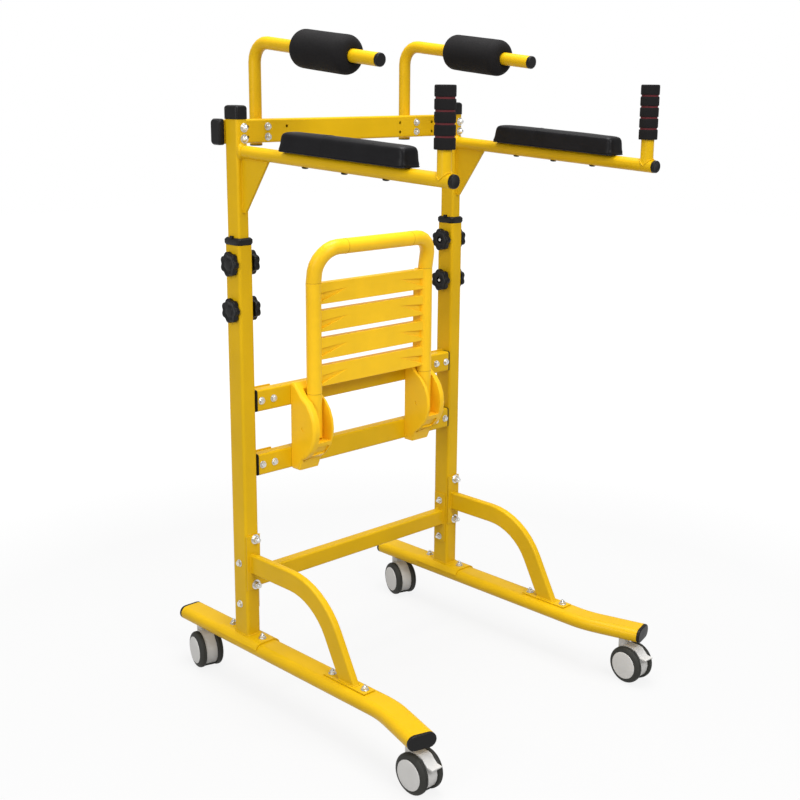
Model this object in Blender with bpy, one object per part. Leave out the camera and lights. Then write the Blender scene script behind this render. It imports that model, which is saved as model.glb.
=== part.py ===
"""Gait trainer: a standing frame on four twin-wheel casters, with a telescoping upper frame
that carries forearm supports, hand grips and underarm rollers, and a seat that folds down.

+Z is up and the casters stand on z = 0. The user faces -Y, so +X is the user's left. Every size
is in metres. Depths along Y are written from the uprights' centre plane; the last step moves the
whole frame so that its footprint is centred on the origin.
"""

import math

import bmesh
import bpy
from mathutils import Matrix, Vector

# Fits and stock
GAP = 0.0003
RUNNING_GAP = 0.0005
WELD = 0.001
TUBE_WALL = 0.002
PLATE = 0.004
SIDES = (("left", 1), ("right", -1))
CORNER_STEPS = 3
ROUND_STEPS = 20

# Uprights
COLUMN_X = 0.300
LOWER_TUBE_WIDTH = 0.034
LOWER_TUBE_DEPTH = 0.046
LOWER_TUBE_RADIUS = 0.006
LOWER_TUBE_TOP = 0.9480
UPPER_TUBE_WIDTH = 0.026
UPPER_TUBE_DEPTH = 0.0386
UPPER_TUBE_RADIUS = 0.005
UPPER_TUBE_BOTTOM = 0.5880
UPPER_TUBE_TOP = 1.1885

# Base legs
CASTER_HEIGHT = 0.0938
LEG_WIDTH = 0.060
LEG_HEIGHT = 0.030
LEG_REAR = 0.2035
LEG_FRONT = 0.5555
LEG_BEND_START = 0.405
LEG_BEND_RADIUS = 0.200
LEG_SPLAY = math.radians(16.0)
PLUG_THICKNESS = 0.007
PLUG_EDGE = 0.0015
PLUG_DEPTH = 0.018
LEG_STEPS = 6
SADDLE_LENGTH = 0.134
SADDLE_THICKNESS = 0.003
SADDLE_WRAP = math.radians(20.0)

# Casters
WHEEL_RADIUS = 0.040
WHEEL_WIDTH = 0.0152
WHEEL_INNER_EDGE = 0.0025
WHEEL_SHOULDER = 0.008
WHEEL_SEGMENTS = 24
HUB_RADIUS = 0.0290
HUB_PROUD = 0.0012
AXLE_RADIUS = 0.004
AXLE_DEPTH = 0.0095
CASTER_TRAIL = 0.022
CASTER_REAR_Y = 0.1675
CASTER_FRONT_Y = -0.5207
HOUSING_WIDTH = 0.0252
HOUSING_RADIUS = 0.035
HOUSING_TOP = 0.079
HOUSING_ARC = (125, 420)
NECK_RADIUS = 0.0115
STEM_RADIUS = 0.0057
STEM_LENGTH = 0.012
SWIVEL_ANGLES = {
    "front_left": math.radians(-2.4),
    "front_right": math.radians(-1.2),
    "rear_left": math.radians(-17.0),
    "rear_right": math.radians(-14.0),
}

# Brake pedals on the front casters
PEDAL_PIVOT_Y = -0.0320
PEDAL_PIVOT_Z = 0.0765
PEDAL_BARREL = 0.0035
PEDAL_REACH = 0.0370
PEDAL_DROP = 0.0155
PEDAL_THICKNESS = 0.0060
PEDAL_WIDTH = 0.0247
PEDAL_SWING = math.radians(5.0)
PEDAL_LIP = 0.0055

# Braces between uprights and legs
BRACE_WIDTH = 0.016
BRACE_DEPTH = 0.042
BRACE_RADIUS = 0.004
BRACE_Z = 0.2868
BRACE_BEND_START = 0.1483
BRACE_BEND_RADIUS = 0.1446
BRACE_BEND = math.radians(61.4)
BRACE_STEPS = 8
FLANGE_BOTTOM = 0.2300
FLANGE_TOP = 0.3490
FLANGE_THICKNESS = 0.003
FOOT_REAR = 0.2615
FOOT_FRONT = 0.3805
FOOT_WIDTH = 0.028
FOOT_THICKNESS = 0.003

# Lower cross bar
CROSS_BAR_HEIGHT = 0.036
CROSS_BAR_DEPTH = 0.025
CROSS_BAR_Z = 0.2445
BAR_RADIUS = 0.004
CROSS_PLATE_HEIGHT = 0.121
CROSS_PLATE_DEPTH = 0.034
CROSS_PLATE_THICKNESS = 0.0025
CROSS_PLATE_Z = 0.2425

# Middle rails
RAIL_HEIGHT = 0.045
RAIL_DEPTH = 0.025
RAIL_CENTRES = {"upper": 0.6303, "lower": 0.4950}
RAIL_END_SPACE = 0.0045
TAB_LENGTH = 0.0565
TAB_OVERHANG = 0.0015

# Fold-down seat
SEAT_TUBE_X = 0.160
SEAT_TUBE_RADIUS = 0.016
SEAT_INNER_RADIUS = 0.012
SEAT_HINGE_Y = -0.060
SEAT_HINGE_Z = 0.5625
SEAT_ARM_RISE = 0.0720
SEAT_SLEEVE_LENGTH = 0.2295
SEAT_BOW_RISE = 0.0715
SEAT_TOP_LEAN = 0.020
SEAT_CORNER_RADIUS = 0.048
SEAT_SPIGOT_LENGTH = 0.0345
SEAT_PIN_RADIUS = 0.004
SEAT_HEEL = 0.026
SEAT_SEGMENTS = 16
SLAT_BOTTOM_MARGIN = 0.0135
SLAT_TOP_MARGIN = 0.0005
SLAT_GAP_FIRST = 0.0497
SLAT_GAP_PITCH = 0.0577
SLAT_GAP_COUNT = 3
SLAT_GAP_HEIGHT = 0.0130
SLAT_GAP_HALF = 0.1435
SLAT_THICKNESS = 0.018
SLAT_POCKET_LENGTH = 0.075
SLAT_POCKET_TOP = 0.0010
SLAT_POCKET_BOTTOM = 0.0160
SLAT_POCKET_TIP = 0.0065
SLAT_POCKET_DEPTH = 0.005

# Seat hinge housings
BRACKET_INNER_X = 0.137
BRACKET_OUTER_X = 0.193
BRACKET_DROP = 0.0925
BRACKET_RISE = 0.0935
BRACKET_ARC_SETBACK = 0.041
BRACKET_ARC_RADIUS = 0.078
BRACKET_ARC = (118, 243)
BRACKET_TOP_DEPTH = 0.0065
BRACKET_SHOULDER_DEPTH = 0.0195
BRACKET_SHOULDER_DROP = 0.0105
BRACKET_FOOT_DEPTH = 0.022
BRACKET_OUTER_EDGE = 0.0065
BRACKET_INNER_EDGE = 0.0035
BRACKET_RECESS = 0.004
BRACKET_RECESS_ARC = (208, 228)
BRACKET_SLIT_WIDTH = 0.0035
BRACKET_SLIT_LENGTH = 0.021
BRACKET_SLIT_RISE = 0.0255
BRACKET_SLIT_OFFSET = 0.012
BRACKET_SLIT_SLOPE = math.radians(24.0)

# Height collars and clamping knobs
COLLAR_OVERHANG = 0.0025
COLLAR_HEIGHT = 0.0140
COLLAR_SLEEVE = 0.027
COLLAR_BUMP = 0.004
KNOB_DROP = 0.0371
KNOB_PITCH = 0.0923
KNOB_RADIUS = 0.0250
KNOB_VALLEY = 0.0035
KNOB_LOBES = 7
KNOB_THICKNESS = {"outer": 0.0110, "inner": 0.0130}
KNOB_EDGE = 0.0020
KNOB_BOSS_RADIUS = 0.0095
KNOB_BOSS_LENGTH = {"outer": 0.0005, "inner": 0.0045}
KNOB_SCREW_RADIUS = 0.004

# Column caps and top bar
CAP_OVERHANG = 0.0015
CAP_HEIGHT = 0.026
CAP_EDGE = 0.005
CAP_SPIGOT = 0.015
TOP_BAR_HEIGHT = 0.046
TOP_BAR_DEPTH = 0.025
TOP_BAR_Z = 1.1640
TOP_BAR_OVERHANG = 0.014
TOP_BAR_HOLE_RADIUS = 0.0032
TOP_BAR_HOLE_PITCH = 0.049
TOP_BAR_HOLE_Z = (1.1523, 1.1723)
BAR_CAP_THICKNESS = 0.013
BAR_CAP_OVERHANG = 0.002

# Arms
ARM_Z = 1.1288
ARM_DROOP = math.radians(2.49)
ARM_TOE_IN = math.radians(1.79)
ARM_RADIUS = 0.0125
ARM_LENGTH = 0.5605
GUSSET_REACH = 0.1005
GUSSET_BOTTOM = 1.0120
GUSSET_TOE = 0.0085
GUSSET_THICKNESS = 0.005
POST_SETBACK = 0.0184
GRIP_RADIUS = 0.018
GRIP_BOTTOM = 0.050
GRIP_TOP = 0.1533
GRIP_GROOVES = 4
GRIP_GROOVE_WIDTH = 0.0032
GRIP_GROOVE_DEPTH = 0.0012
PAD_REAR = 0.1545
PAD_FRONT = 0.4574
PAD_WIDTH = 0.049
PAD_TOP = 0.0482
PAD_CORNER = 0.008

# Underarm supports
SHOULDER_X = 0.2072
SHOULDER_RADIUS = 0.0125
SHOULDER_BOTTOM = 1.1360
SHOULDER_BEND_Z = 1.2943
SHOULDER_BEND_RADIUS = 0.0375
SHOULDER_SLOPE = math.radians(5.8)
SHOULDER_FRONT = 0.3010
SHOULDER_PLUG = 0.0075
SHOULDER_STEPS = 6
ROLLER_REAR = 0.083
ROLLER_FRONT = 0.233
ROLLER_RADIUS = 0.0365
ROLLER_EDGE = 0.018

X_AXIS = Vector((1, 0, 0))
Y_AXIS = Vector((0, 1, 0))
Z_AXIS = Vector((0, 0, 1))

COLOURS = {
    "yellow_paint": ((0.62, 0.40, 0.012), 0.35, 0.0),
    "yellow_plastic": ((0.90, 0.55, 0.02), 0.40, 0.0),
    "black_plastic": ((0.012, 0.011, 0.012), 0.50, 0.0),
    "black_foam": ((0.015, 0.014, 0.015), 0.90, 0.0),
    "black_vinyl": ((0.014, 0.014, 0.018), 0.55, 0.0),
    "tyre_rubber": ((0.026, 0.026, 0.022), 0.65, 0.0),
    "grey_plastic": ((0.58, 0.57, 0.55), 0.45, 0.0),
}


def clear_scene():
    for obj in list(bpy.data.objects):
        bpy.data.objects.remove(obj, do_unlink=True)


def make_materials():
    made = {}
    for name, (colour, roughness, metallic) in COLOURS.items():
        material = bpy.data.materials.new(name)
        material.use_nodes = True
        shader = material.node_tree.nodes["Principled BSDF"]
        shader.inputs["Base Color"].default_value = (*colour, 1.0)
        shader.inputs["Roughness"].default_value = roughness
        shader.inputs["Metallic"].default_value = metallic
        made[name] = material
    return made


clear_scene()
MATERIALS = make_materials()


# Outlines in a plane, counter-clockwise

def rounded_rectangle(width, height, radius, steps=CORNER_STEPS):
    points = []
    corners = ((1, 1, 0), (-1, 1, 90), (-1, -1, 180), (1, -1, 270))
    for sx, sy, start in corners:
        for step in range(steps + 1):
            angle = math.radians(start + 90 * step / steps)
            across = sx * (width / 2 - radius) + radius * math.cos(angle)
            along = sy * (height / 2 - radius) + radius * math.sin(angle)
            points.append((across, along))
    return points


def flat_oval(width, height, steps=4):
    """A tube section with flat faces and half-round sides."""
    radius = height / 2
    points = []
    for side, start in ((1, -90), (-1, 90)):
        for step in range(2 * steps + 1):
            angle = math.radians(start + 90 * step / steps)
            across = side * (width / 2 - radius) + radius * math.cos(angle)
            points.append((across, radius * math.sin(angle)))
    return points


def circle(radius, count=ROUND_STEPS):
    """A polygon round the origin with a corner at its lowest point."""
    points = []
    for step in range(count):
        angle = 2 * math.pi * step / count - math.pi / 2
        points.append((radius * math.cos(angle), radius * math.sin(angle)))
    return points


def star(radius, valley, lobes, count):
    points = []
    for step in range(count):
        angle = 2 * math.pi * step / count
        reach = radius - valley * (0.5 - 0.5 * math.cos(lobes * angle))
        points.append((reach * math.cos(angle), reach * math.sin(angle)))
    return points


def arc(centre, radius, start, end, steps):
    """Points on an arc, angles in degrees."""
    points = []
    for step in range(steps + 1):
        angle = math.radians(start + (end - start) * step / steps)
        points.append((centre[0] + radius * math.cos(angle), centre[1] + radius * math.sin(angle)))
    return points


# Solids

def ring(outline, centre, across, along):
    return [centre + across * a + along * b for a, b in outline]


def add_object(name, mesh, material=None):
    obj = bpy.data.objects.new(name, mesh)
    bpy.context.scene.collection.objects.link(obj)
    if material:
        mesh.materials.clear()
        mesh.materials.append(MATERIALS[material])
    return obj


def loft(name, rings, material=None, closed=False):
    """A solid through matching rings of points, with flat ends unless the rings close on themselves."""
    bm = bmesh.new()
    rows = [[bm.verts.new(point) for point in points] for points in rings]
    pairs = list(zip(rows, rows[1:]))
    if closed:
        pairs.append((rows[-1], rows[0]))
    for first, second in pairs:
        count = len(first)
        for i in range(count):
            j = (i + 1) % count
            bm.faces.new((first[i], first[j], second[j], second[i]))
    if not closed:
        bm.faces.new(list(reversed(rows[0])))
        bm.faces.new(rows[-1])
    bmesh.ops.recalc_face_normals(bm, faces=bm.faces)
    mesh = bpy.data.meshes.new(name)
    bm.to_mesh(mesh)
    bm.free()
    return add_object(name, mesh, material)


def prism(name, outline, start, across, along, length, material=None):
    """An outline pushed along the normal of its plane."""
    normal = across.cross(along)
    rings = [ring(outline, start, across, along), ring(outline, start + normal * length, across, along)]
    return loft(name, rings, material)


def box(name, low, high, material=None):
    middle = ((low[0] + high[0]) / 2, (low[1] + high[1]) / 2)
    outline = [(-1, -1), (1, -1), (1, 1), (-1, 1)]
    half = ((high[0] - low[0]) / 2, (high[1] - low[1]) / 2)
    outline = [(a * half[0], b * half[1]) for a, b in outline]
    return prism(name, outline, Vector((*middle, low[2])), X_AXIS, Y_AXIS, high[2] - low[2], material)


def rod(name, start, end, radius, material=None, count=ROUND_STEPS):
    direction = (end - start).normalized()
    across, along = cross_axes(direction)
    rings = [ring(circle(radius, count), point, across, along) for point in (start, end)]
    return loft(name, rings, material)


def lathe(name, profile, start, direction, material=None, count=ROUND_STEPS, closed=False):
    """A turned solid; the profile lists (distance along the axis, radius)."""
    across, along = cross_axes(direction)
    rings = [ring(circle(radius, count), start + direction * at, across, along) for at, radius in profile]
    return loft(name, rings, material, closed)


def cross_axes(direction):
    """Two axes square to a direction, the second one as near to vertical as it can be."""
    helper = Z_AXIS if abs(direction.z) < 0.9 else Y_AXIS
    across = direction.cross(helper).normalized() * -1
    along = direction.cross(across).normalized()
    if along.dot(helper) < 0:
        across, along = -across, -along
    return across, along


def sweep_rings(outline, path, normal):
    """Rings square to a path; the outline's first axis follows the given normal of the path's plane."""
    rings = []
    for i, point in enumerate(path):
        before = path[max(i - 1, 0)]
        after = path[min(i + 1, len(path) - 1)]
        tangent = (after - before).normalized()
        across = (normal - tangent * normal.dot(tangent)).normalized()
        rings.append(ring(outline, point, across, tangent.cross(across)))
    return rings


def tube(name, path, outer, inner, normal, material=None):
    """An open-ended tube along a path."""
    rings = sweep_rings(outer, path, normal) + list(reversed(sweep_rings(inner, path, normal)))
    return loft(name, rings, material, closed=True)


def combine(target, operation, *tools):
    """Joins the tools to the target, or cuts them from it, and removes them."""
    for tool in tools:
        modifier = target.modifiers.new(operation.lower(), "BOOLEAN")
        modifier.operation = operation
        modifier.object = tool
    bpy.context.view_layer.update()
    graph = bpy.context.evaluated_depsgraph_get()
    mesh = bpy.data.meshes.new_from_object(target.evaluated_get(graph))
    target.modifiers.clear()
    target.data = mesh
    for tool in tools:
        bpy.data.objects.remove(tool, do_unlink=True)
    return target


def empty(name, location, rotation=(0, 0, 0), parent=None):
    marker = bpy.data.objects.new(name, None)
    bpy.context.scene.collection.objects.link(marker)
    marker.location = location
    marker.rotation_euler = rotation
    marker.parent = parent
    return marker


def hang(obj, parent, pivot=(0, 0, 0)):
    """Gives an object its own origin at the pivot and hangs it on a parent that stands at the same scale."""
    pivot = Vector(pivot)
    obj.data.transform(Matrix.Translation(-pivot))
    obj.parent = parent
    obj.location = pivot
    obj.data.shade_smooth()
    obj.data.set_sharp_from_angle(angle=math.radians(35))
    return obj


# Places that several pieces share

LEG_AXIS_Z = CASTER_HEIGHT + LEG_HEIGHT / 2
LEG_TOP = CASTER_HEIGHT + LEG_HEIGHT
LOWER_INNER_FACE = COLUMN_X - LOWER_TUBE_WIDTH / 2
COLUMN_FRONT = -LOWER_TUBE_DEPTH / 2
UPPER_BACK = UPPER_TUBE_DEPTH / 2
TOP_BAR_FRONT = UPPER_BACK + GAP
SHOULDER_Y = TOP_BAR_FRONT + TOP_BAR_DEPTH + GAP + SHOULDER_RADIUS
TOP_BAR_HALF = COLUMN_X + TOP_BAR_OVERHANG
KNOB_HEIGHTS = {"upper": LOWER_TUBE_TOP - KNOB_DROP, "lower": LOWER_TUBE_TOP - KNOB_DROP - KNOB_PITCH}
POST_REACH = ARM_LENGTH - POST_SETBACK
BRACKET_BOTTOM = SEAT_HINGE_Z - BRACKET_DROP
BRACKET_TOP = SEAT_HINGE_Z + BRACKET_RISE
BRACKET_BACK = COLUMN_FRONT - GAP
BRACKET_ARC_CENTRE = (SEAT_HINGE_Y + BRACKET_ARC_SETBACK, SEAT_HINGE_Z)
SEAT_SLEEVE_BOTTOM = SEAT_HINGE_Z + SEAT_ARM_RISE
SEAT_SLEEVE_TOP = SEAT_SLEEVE_BOTTOM + SEAT_SLEEVE_LENGTH
SEAT_TOP_Z = SEAT_SLEEVE_TOP + SEAT_BOW_RISE
SEAT_SPIGOT_BOTTOM = SEAT_SLEEVE_BOTTOM - SEAT_SPIGOT_LENGTH
SLAT_BOTTOM = SEAT_SLEEVE_BOTTOM + SLAT_BOTTOM_MARGIN
SLAT_TOP = SEAT_SLEEVE_TOP - SLAT_TOP_MARGIN
SLAT_GAPS = [SLAT_BOTTOM + SLAT_GAP_FIRST + SLAT_GAP_PITCH * i for i in range(SLAT_GAP_COUNT)]
ARM_TILT = {side: (ARM_DROOP, 0, -sign * ARM_TOE_IN) for side, sign in SIDES}


def leg_centre(y, sign):
    """The leg's centre line in plan: straight, then an arc, then straight at the splay angle."""
    depth = -y - LEG_BEND_START
    arc_depth = LEG_BEND_RADIUS * math.sin(LEG_SPLAY)
    if depth <= 0:
        offset = 0
    elif depth < arc_depth:
        offset = LEG_BEND_RADIUS * (1 - math.cos(math.asin(depth / LEG_BEND_RADIUS)))
    else:
        offset = LEG_BEND_RADIUS * (1 - math.cos(LEG_SPLAY)) + (depth - arc_depth) * math.tan(LEG_SPLAY)
    return Vector((sign * (COLUMN_X + offset), y, LEG_AXIS_Z))


def inner_outline(shape, width, height, radius=None):
    """The bore of a tube whose outside is the given shape."""
    if radius is None:
        return shape(width - 2 * TUBE_WALL, height - 2 * TUBE_WALL)
    return shape(width - 2 * TUBE_WALL, height - 2 * TUBE_WALL, max(radius - TUBE_WALL, 0.001))


def make_leg(side, sign, root):
    arc_depth = LEG_BEND_RADIUS * math.sin(LEG_SPLAY)
    depths = [LEG_REAR, -LEG_BEND_START]
    for step in range(1, LEG_STEPS + 1):
        depths.append(-LEG_BEND_START - arc_depth * step / LEG_STEPS)
    depths.append(-LEG_FRONT)
    path = [leg_centre(y, sign) for y in depths]
    outer = flat_oval(LEG_WIDTH, LEG_HEIGHT)
    inner = inner_outline(flat_oval, LEG_WIDTH, LEG_HEIGHT)
    rings = leg_rings(outer, path, sign) + list(reversed(leg_rings(inner, path, sign)))
    leg = loft(f"base_leg_{side}", rings, "yellow_paint", closed=True)
    holes = []
    for y in (CASTER_REAR_Y, CASTER_FRONT_Y):
        at = leg_centre(y, sign)
        low = Vector((at.x, at.y, CASTER_HEIGHT - TUBE_WALL))
        holes.append(rod("stem_hole", low, low + Z_AXIS * 3 * TUBE_WALL, STEM_RADIUS + GAP, count=12))
    combine(leg, "DIFFERENCE", *holes)
    hang(leg, root)
    for end, at, direction in (("rear", path[0], Y_AXIS), ("front", path[-1], leg_direction(sign))):
        make_leg_plug(f"leg_plug_{end}_{side}", at, direction, root)


def leg_direction(sign):
    """The way the splayed front end of a leg points."""
    return Vector((sign * math.sin(LEG_SPLAY), -math.cos(LEG_SPLAY), 0))


def leg_rings(outline, path, sign):
    """Level rings along a leg, each square to the centre line."""
    rings = []
    for point in path:
        depth = min(max(-point.y - LEG_BEND_START, 0) / LEG_BEND_RADIUS, math.sin(LEG_SPLAY))
        turn = math.asin(depth)
        across = Vector((math.cos(turn), sign * math.sin(turn), 0))
        rings.append(ring(outline, point, across, Z_AXIS))
    return rings


def make_leg_plug(name, at, direction, root):
    across = direction.cross(Z_AXIS)
    spigot_width = LEG_WIDTH - 2 * (TUBE_WALL + GAP)
    spigot_height = LEG_HEIGHT - 2 * (TUBE_WALL + GAP)
    stations = (
        (-PLUG_DEPTH, spigot_width, spigot_height),
        (GAP, spigot_width, spigot_height),
        (GAP, LEG_WIDTH, LEG_HEIGHT),
        (PLUG_THICKNESS - PLUG_EDGE, LEG_WIDTH, LEG_HEIGHT),
        (PLUG_THICKNESS, LEG_WIDTH - 2 * PLUG_EDGE, LEG_HEIGHT - 2 * PLUG_EDGE),
    )
    rings = [ring(flat_oval(w, h), at + direction * d, across, Z_AXIS) for d, w, h in stations]
    hang(loft(name, rings, "black_plastic"), root, at)


def make_saddle(sign):
    """The bent plate that seats an upright on the round top of its leg."""
    radius = LEG_HEIGHT / 2
    flat = LEG_WIDTH / 2 - radius
    wrap = math.degrees(SADDLE_WRAP)
    outline = []
    for reach, order in ((radius + GAP + SADDLE_THICKNESS, 1), (radius + GAP, -1)):
        half = arc((flat, 0), reach, wrap, 90, 4) + arc((-flat, 0), reach, 90, 180 - wrap, 4)
        outline += half[::order]
    start = Vector((sign * COLUMN_X, SADDLE_LENGTH / 2, LEG_AXIS_Z))
    return prism("saddle", outline, start, X_AXIS, Z_AXIS, SADDLE_LENGTH)


def make_lower_upright(side, sign, root):
    bottom = LEG_TOP + GAP + SADDLE_THICKNESS
    name = f"lower_upright_{side}"
    outer = rounded_rectangle(LOWER_TUBE_WIDTH, LOWER_TUBE_DEPTH, LOWER_TUBE_RADIUS)
    inner = inner_outline(rounded_rectangle, LOWER_TUBE_WIDTH, LOWER_TUBE_DEPTH, LOWER_TUBE_RADIUS)
    foot = Vector((sign * COLUMN_X, 0, bottom - WELD))
    upright = prism(name, outer, foot, X_AXIS, Y_AXIS, LOWER_TUBE_TOP - foot.z, "yellow_paint")
    joined = [make_saddle(sign)]
    for centre in RAIL_CENTRES.values():
        joined.append(make_rail_tab(sign, centre))
    combine(upright, "UNION", *joined)
    bore = prism("bore", inner, foot + Z_AXIS * 2 * WELD, X_AXIS, Y_AXIS, LOWER_TUBE_TOP - bottom + PLATE)
    cuts = [bore]
    for height in KNOB_HEIGHTS.values():
        middle = Vector((sign * COLUMN_X, 0, height))
        reach = X_AXIS * LOWER_TUBE_WIDTH
        cuts.append(rod("screw_hole", middle - reach, middle + reach, KNOB_SCREW_RADIUS + GAP, count=12))
    for cut in cuts:
        combine(upright, "DIFFERENCE", cut)
    upright.data.materials.clear()
    upright.data.materials.append(MATERIALS["yellow_paint"])
    hang(upright, root, (sign * COLUMN_X, 0, 0))


def make_rail_tab(sign, centre):
    """A plate welded to the upright's inner face, behind a rail."""
    back = COLUMN_FRONT + RAIL_DEPTH + GAP
    half = RAIL_HEIGHT / 2 + TAB_OVERHANG
    near = LOWER_INNER_FACE + WELD
    far = LOWER_INNER_FACE - TAB_LENGTH
    low = (min(sign * near, sign * far), back, centre - half)
    high = (max(sign * near, sign * far), back + PLATE, centre + half)
    return box("rail_tab", low, high)


def brace_path(sign):
    start = COLUMN_FRONT - GAP - FLANGE_THICKNESS / 2
    x = sign * COLUMN_X
    path = [Vector((x, start, BRACE_Z))]
    centre_z = BRACE_Z - BRACE_BEND_RADIUS
    for step in range(BRACE_STEPS + 1):
        turn = BRACE_BEND * step / BRACE_STEPS
        y = -BRACE_BEND_START - BRACE_BEND_RADIUS * math.sin(turn)
        path.append(Vector((x, y, centre_z + BRACE_BEND_RADIUS * math.cos(turn))))
    last = path[-1]
    foot = LEG_TOP + GAP + FOOT_THICKNESS / 2
    drop = last.z - foot
    path.append(Vector((x, last.y - drop / math.tan(BRACE_BEND), foot)))
    return path


def brace_rings(outline, path, foot_drop):
    """Rings along a brace: upright at the flange, level at the foot, square to the path between."""
    rings = []
    for i, point in enumerate(path):
        if i == 0:
            rings.append(ring(outline, point, X_AXIS, Z_AXIS))
        elif i == len(path) - 1:
            stretched = [(a, b / math.sin(BRACE_BEND)) for a, b in outline]
            low = point - Z_AXIS * foot_drop - Y_AXIS * foot_drop / math.tan(BRACE_BEND)
            rings.append(ring(stretched, low, X_AXIS, -Y_AXIS))
        else:
            turn = BRACE_BEND * (i - 1) / BRACE_STEPS
            rings.append(ring(outline, point, X_AXIS, Vector((0, -math.sin(turn), math.cos(turn)))))
    return rings


def make_brace(side, sign, root):
    """A bent rectangular tube with a flange for the upright and a foot plate for the leg."""
    path = brace_path(sign)
    outer = rounded_rectangle(BRACE_WIDTH, BRACE_DEPTH, BRACE_RADIUS)
    inner = inner_outline(rounded_rectangle, BRACE_WIDTH, BRACE_DEPTH, BRACE_RADIUS)
    brace = loft(f"brace_{side}", brace_rings(outer, path, 0), "yellow_paint")
    face = COLUMN_FRONT - GAP
    half = LOWER_TUBE_WIDTH / 2
    x = sign * COLUMN_X
    flange = box("flange", (x - half, face - FLANGE_THICKNESS, FLANGE_BOTTOM), (x + half, face, FLANGE_TOP))
    low = LEG_TOP + GAP
    half = FOOT_WIDTH / 2
    foot = box("foot", (x - half, -FOOT_FRONT, low), (x + half, -FOOT_REAR, low + FOOT_THICKNESS))
    combine(brace, "UNION", flange, foot)
    bore_path = [path[0] + Y_AXIS * 2 * FLANGE_THICKNESS] + path[1:]
    bore = loft("bore", brace_rings(inner, bore_path, -FOOT_THICKNESS), None)
    combine(brace, "DIFFERENCE", bore)
    brace.data.materials.clear()
    brace.data.materials.append(MATERIALS["yellow_paint"])
    hang(brace, root, (x, COLUMN_FRONT, BRACE_Z))


def make_cross_bar(root):
    """The lower cross bar, welded between two end plates."""
    end = LOWER_INNER_FACE - GAP
    y_axis = -Y_AXIS
    outer = rounded_rectangle(CROSS_BAR_DEPTH, CROSS_BAR_HEIGHT, BAR_RADIUS)
    inner = inner_outline(rounded_rectangle, CROSS_BAR_DEPTH, CROSS_BAR_HEIGHT, BAR_RADIUS)
    inside = end - WELD
    start = Vector((inside, 0, CROSS_BAR_Z))
    bar = prism("lower_cross_bar", outer, start, y_axis, Z_AXIS, 2 * inside, "yellow_paint")
    plates = []
    for sign in (1, -1):
        near = sign * end
        far = sign * (end - CROSS_PLATE_THICKNESS)
        low = (min(near, far), -CROSS_PLATE_DEPTH / 2, CROSS_PLATE_Z - CROSS_PLATE_HEIGHT / 2)
        high = (max(near, far), CROSS_PLATE_DEPTH / 2, CROSS_PLATE_Z + CROSS_PLATE_HEIGHT / 2)
        plates.append(box("end_plate", low, high))
    combine(bar, "UNION", *plates)
    start = Vector((end + PLATE, 0, CROSS_BAR_Z))
    combine(bar, "DIFFERENCE", prism("bore", inner, start, y_axis, Z_AXIS, 2 * (end + PLATE)))
    bar.data.materials.clear()
    bar.data.materials.append(MATERIALS["yellow_paint"])
    hang(bar, root, (0, 0, CROSS_BAR_Z))


def make_rail(name, height, root):
    end = LOWER_INNER_FACE - RAIL_END_SPACE
    y = COLUMN_FRONT + RAIL_DEPTH / 2
    path = [Vector((-end, y, height)), Vector((end, y, height))]
    outer = rounded_rectangle(RAIL_DEPTH, RAIL_HEIGHT, BAR_RADIUS)
    inner = inner_outline(rounded_rectangle, RAIL_DEPTH, RAIL_HEIGHT, BAR_RADIUS)
    hang(tube(name, path, outer, inner, Y_AXIS, "yellow_paint"), root, (0, y, height))


def bracket_outline(inset):
    """A hinge housing from the side: upright at the back, round in front, drawn in by the inset."""
    top = BRACKET_TOP - inset
    bottom = BRACKET_BOTTOM + inset
    drawn_in = inset * math.sqrt(0.5)
    shoulder_y = BRACKET_BACK - BRACKET_SHOULDER_DEPTH + drawn_in
    shoulder_z = BRACKET_TOP - BRACKET_SHOULDER_DROP - drawn_in
    outline = [(BRACKET_BACK, top), (BRACKET_BACK - BRACKET_TOP_DEPTH + inset / 2, top)]
    outline.append((shoulder_y, shoulder_z))
    outline += arc(BRACKET_ARC_CENTRE, BRACKET_ARC_RADIUS - inset, *BRACKET_ARC, 8)
    outline.append((BRACKET_BACK - BRACKET_FOOT_DEPTH + inset, bottom))
    return outline + [(BRACKET_BACK, bottom)]


def bracket_stations():
    """Distances from a housing's inner face, each with how far the outline is drawn in there."""
    width = BRACKET_OUTER_X - BRACKET_INNER_X
    stations = []
    for radius, start, way, angles in (
        (BRACKET_INNER_EDGE, 0, 1, (0, 45, 90)),
        (BRACKET_OUTER_EDGE, width, -1, (90, 60, 30, 0)),
    ):
        for angle in angles:
            turn = math.radians(angle)
            at = start + way * radius * (1 - math.cos(turn))
            stations.append((at, radius * (1 - math.sin(turn))))
    return stations


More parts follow.
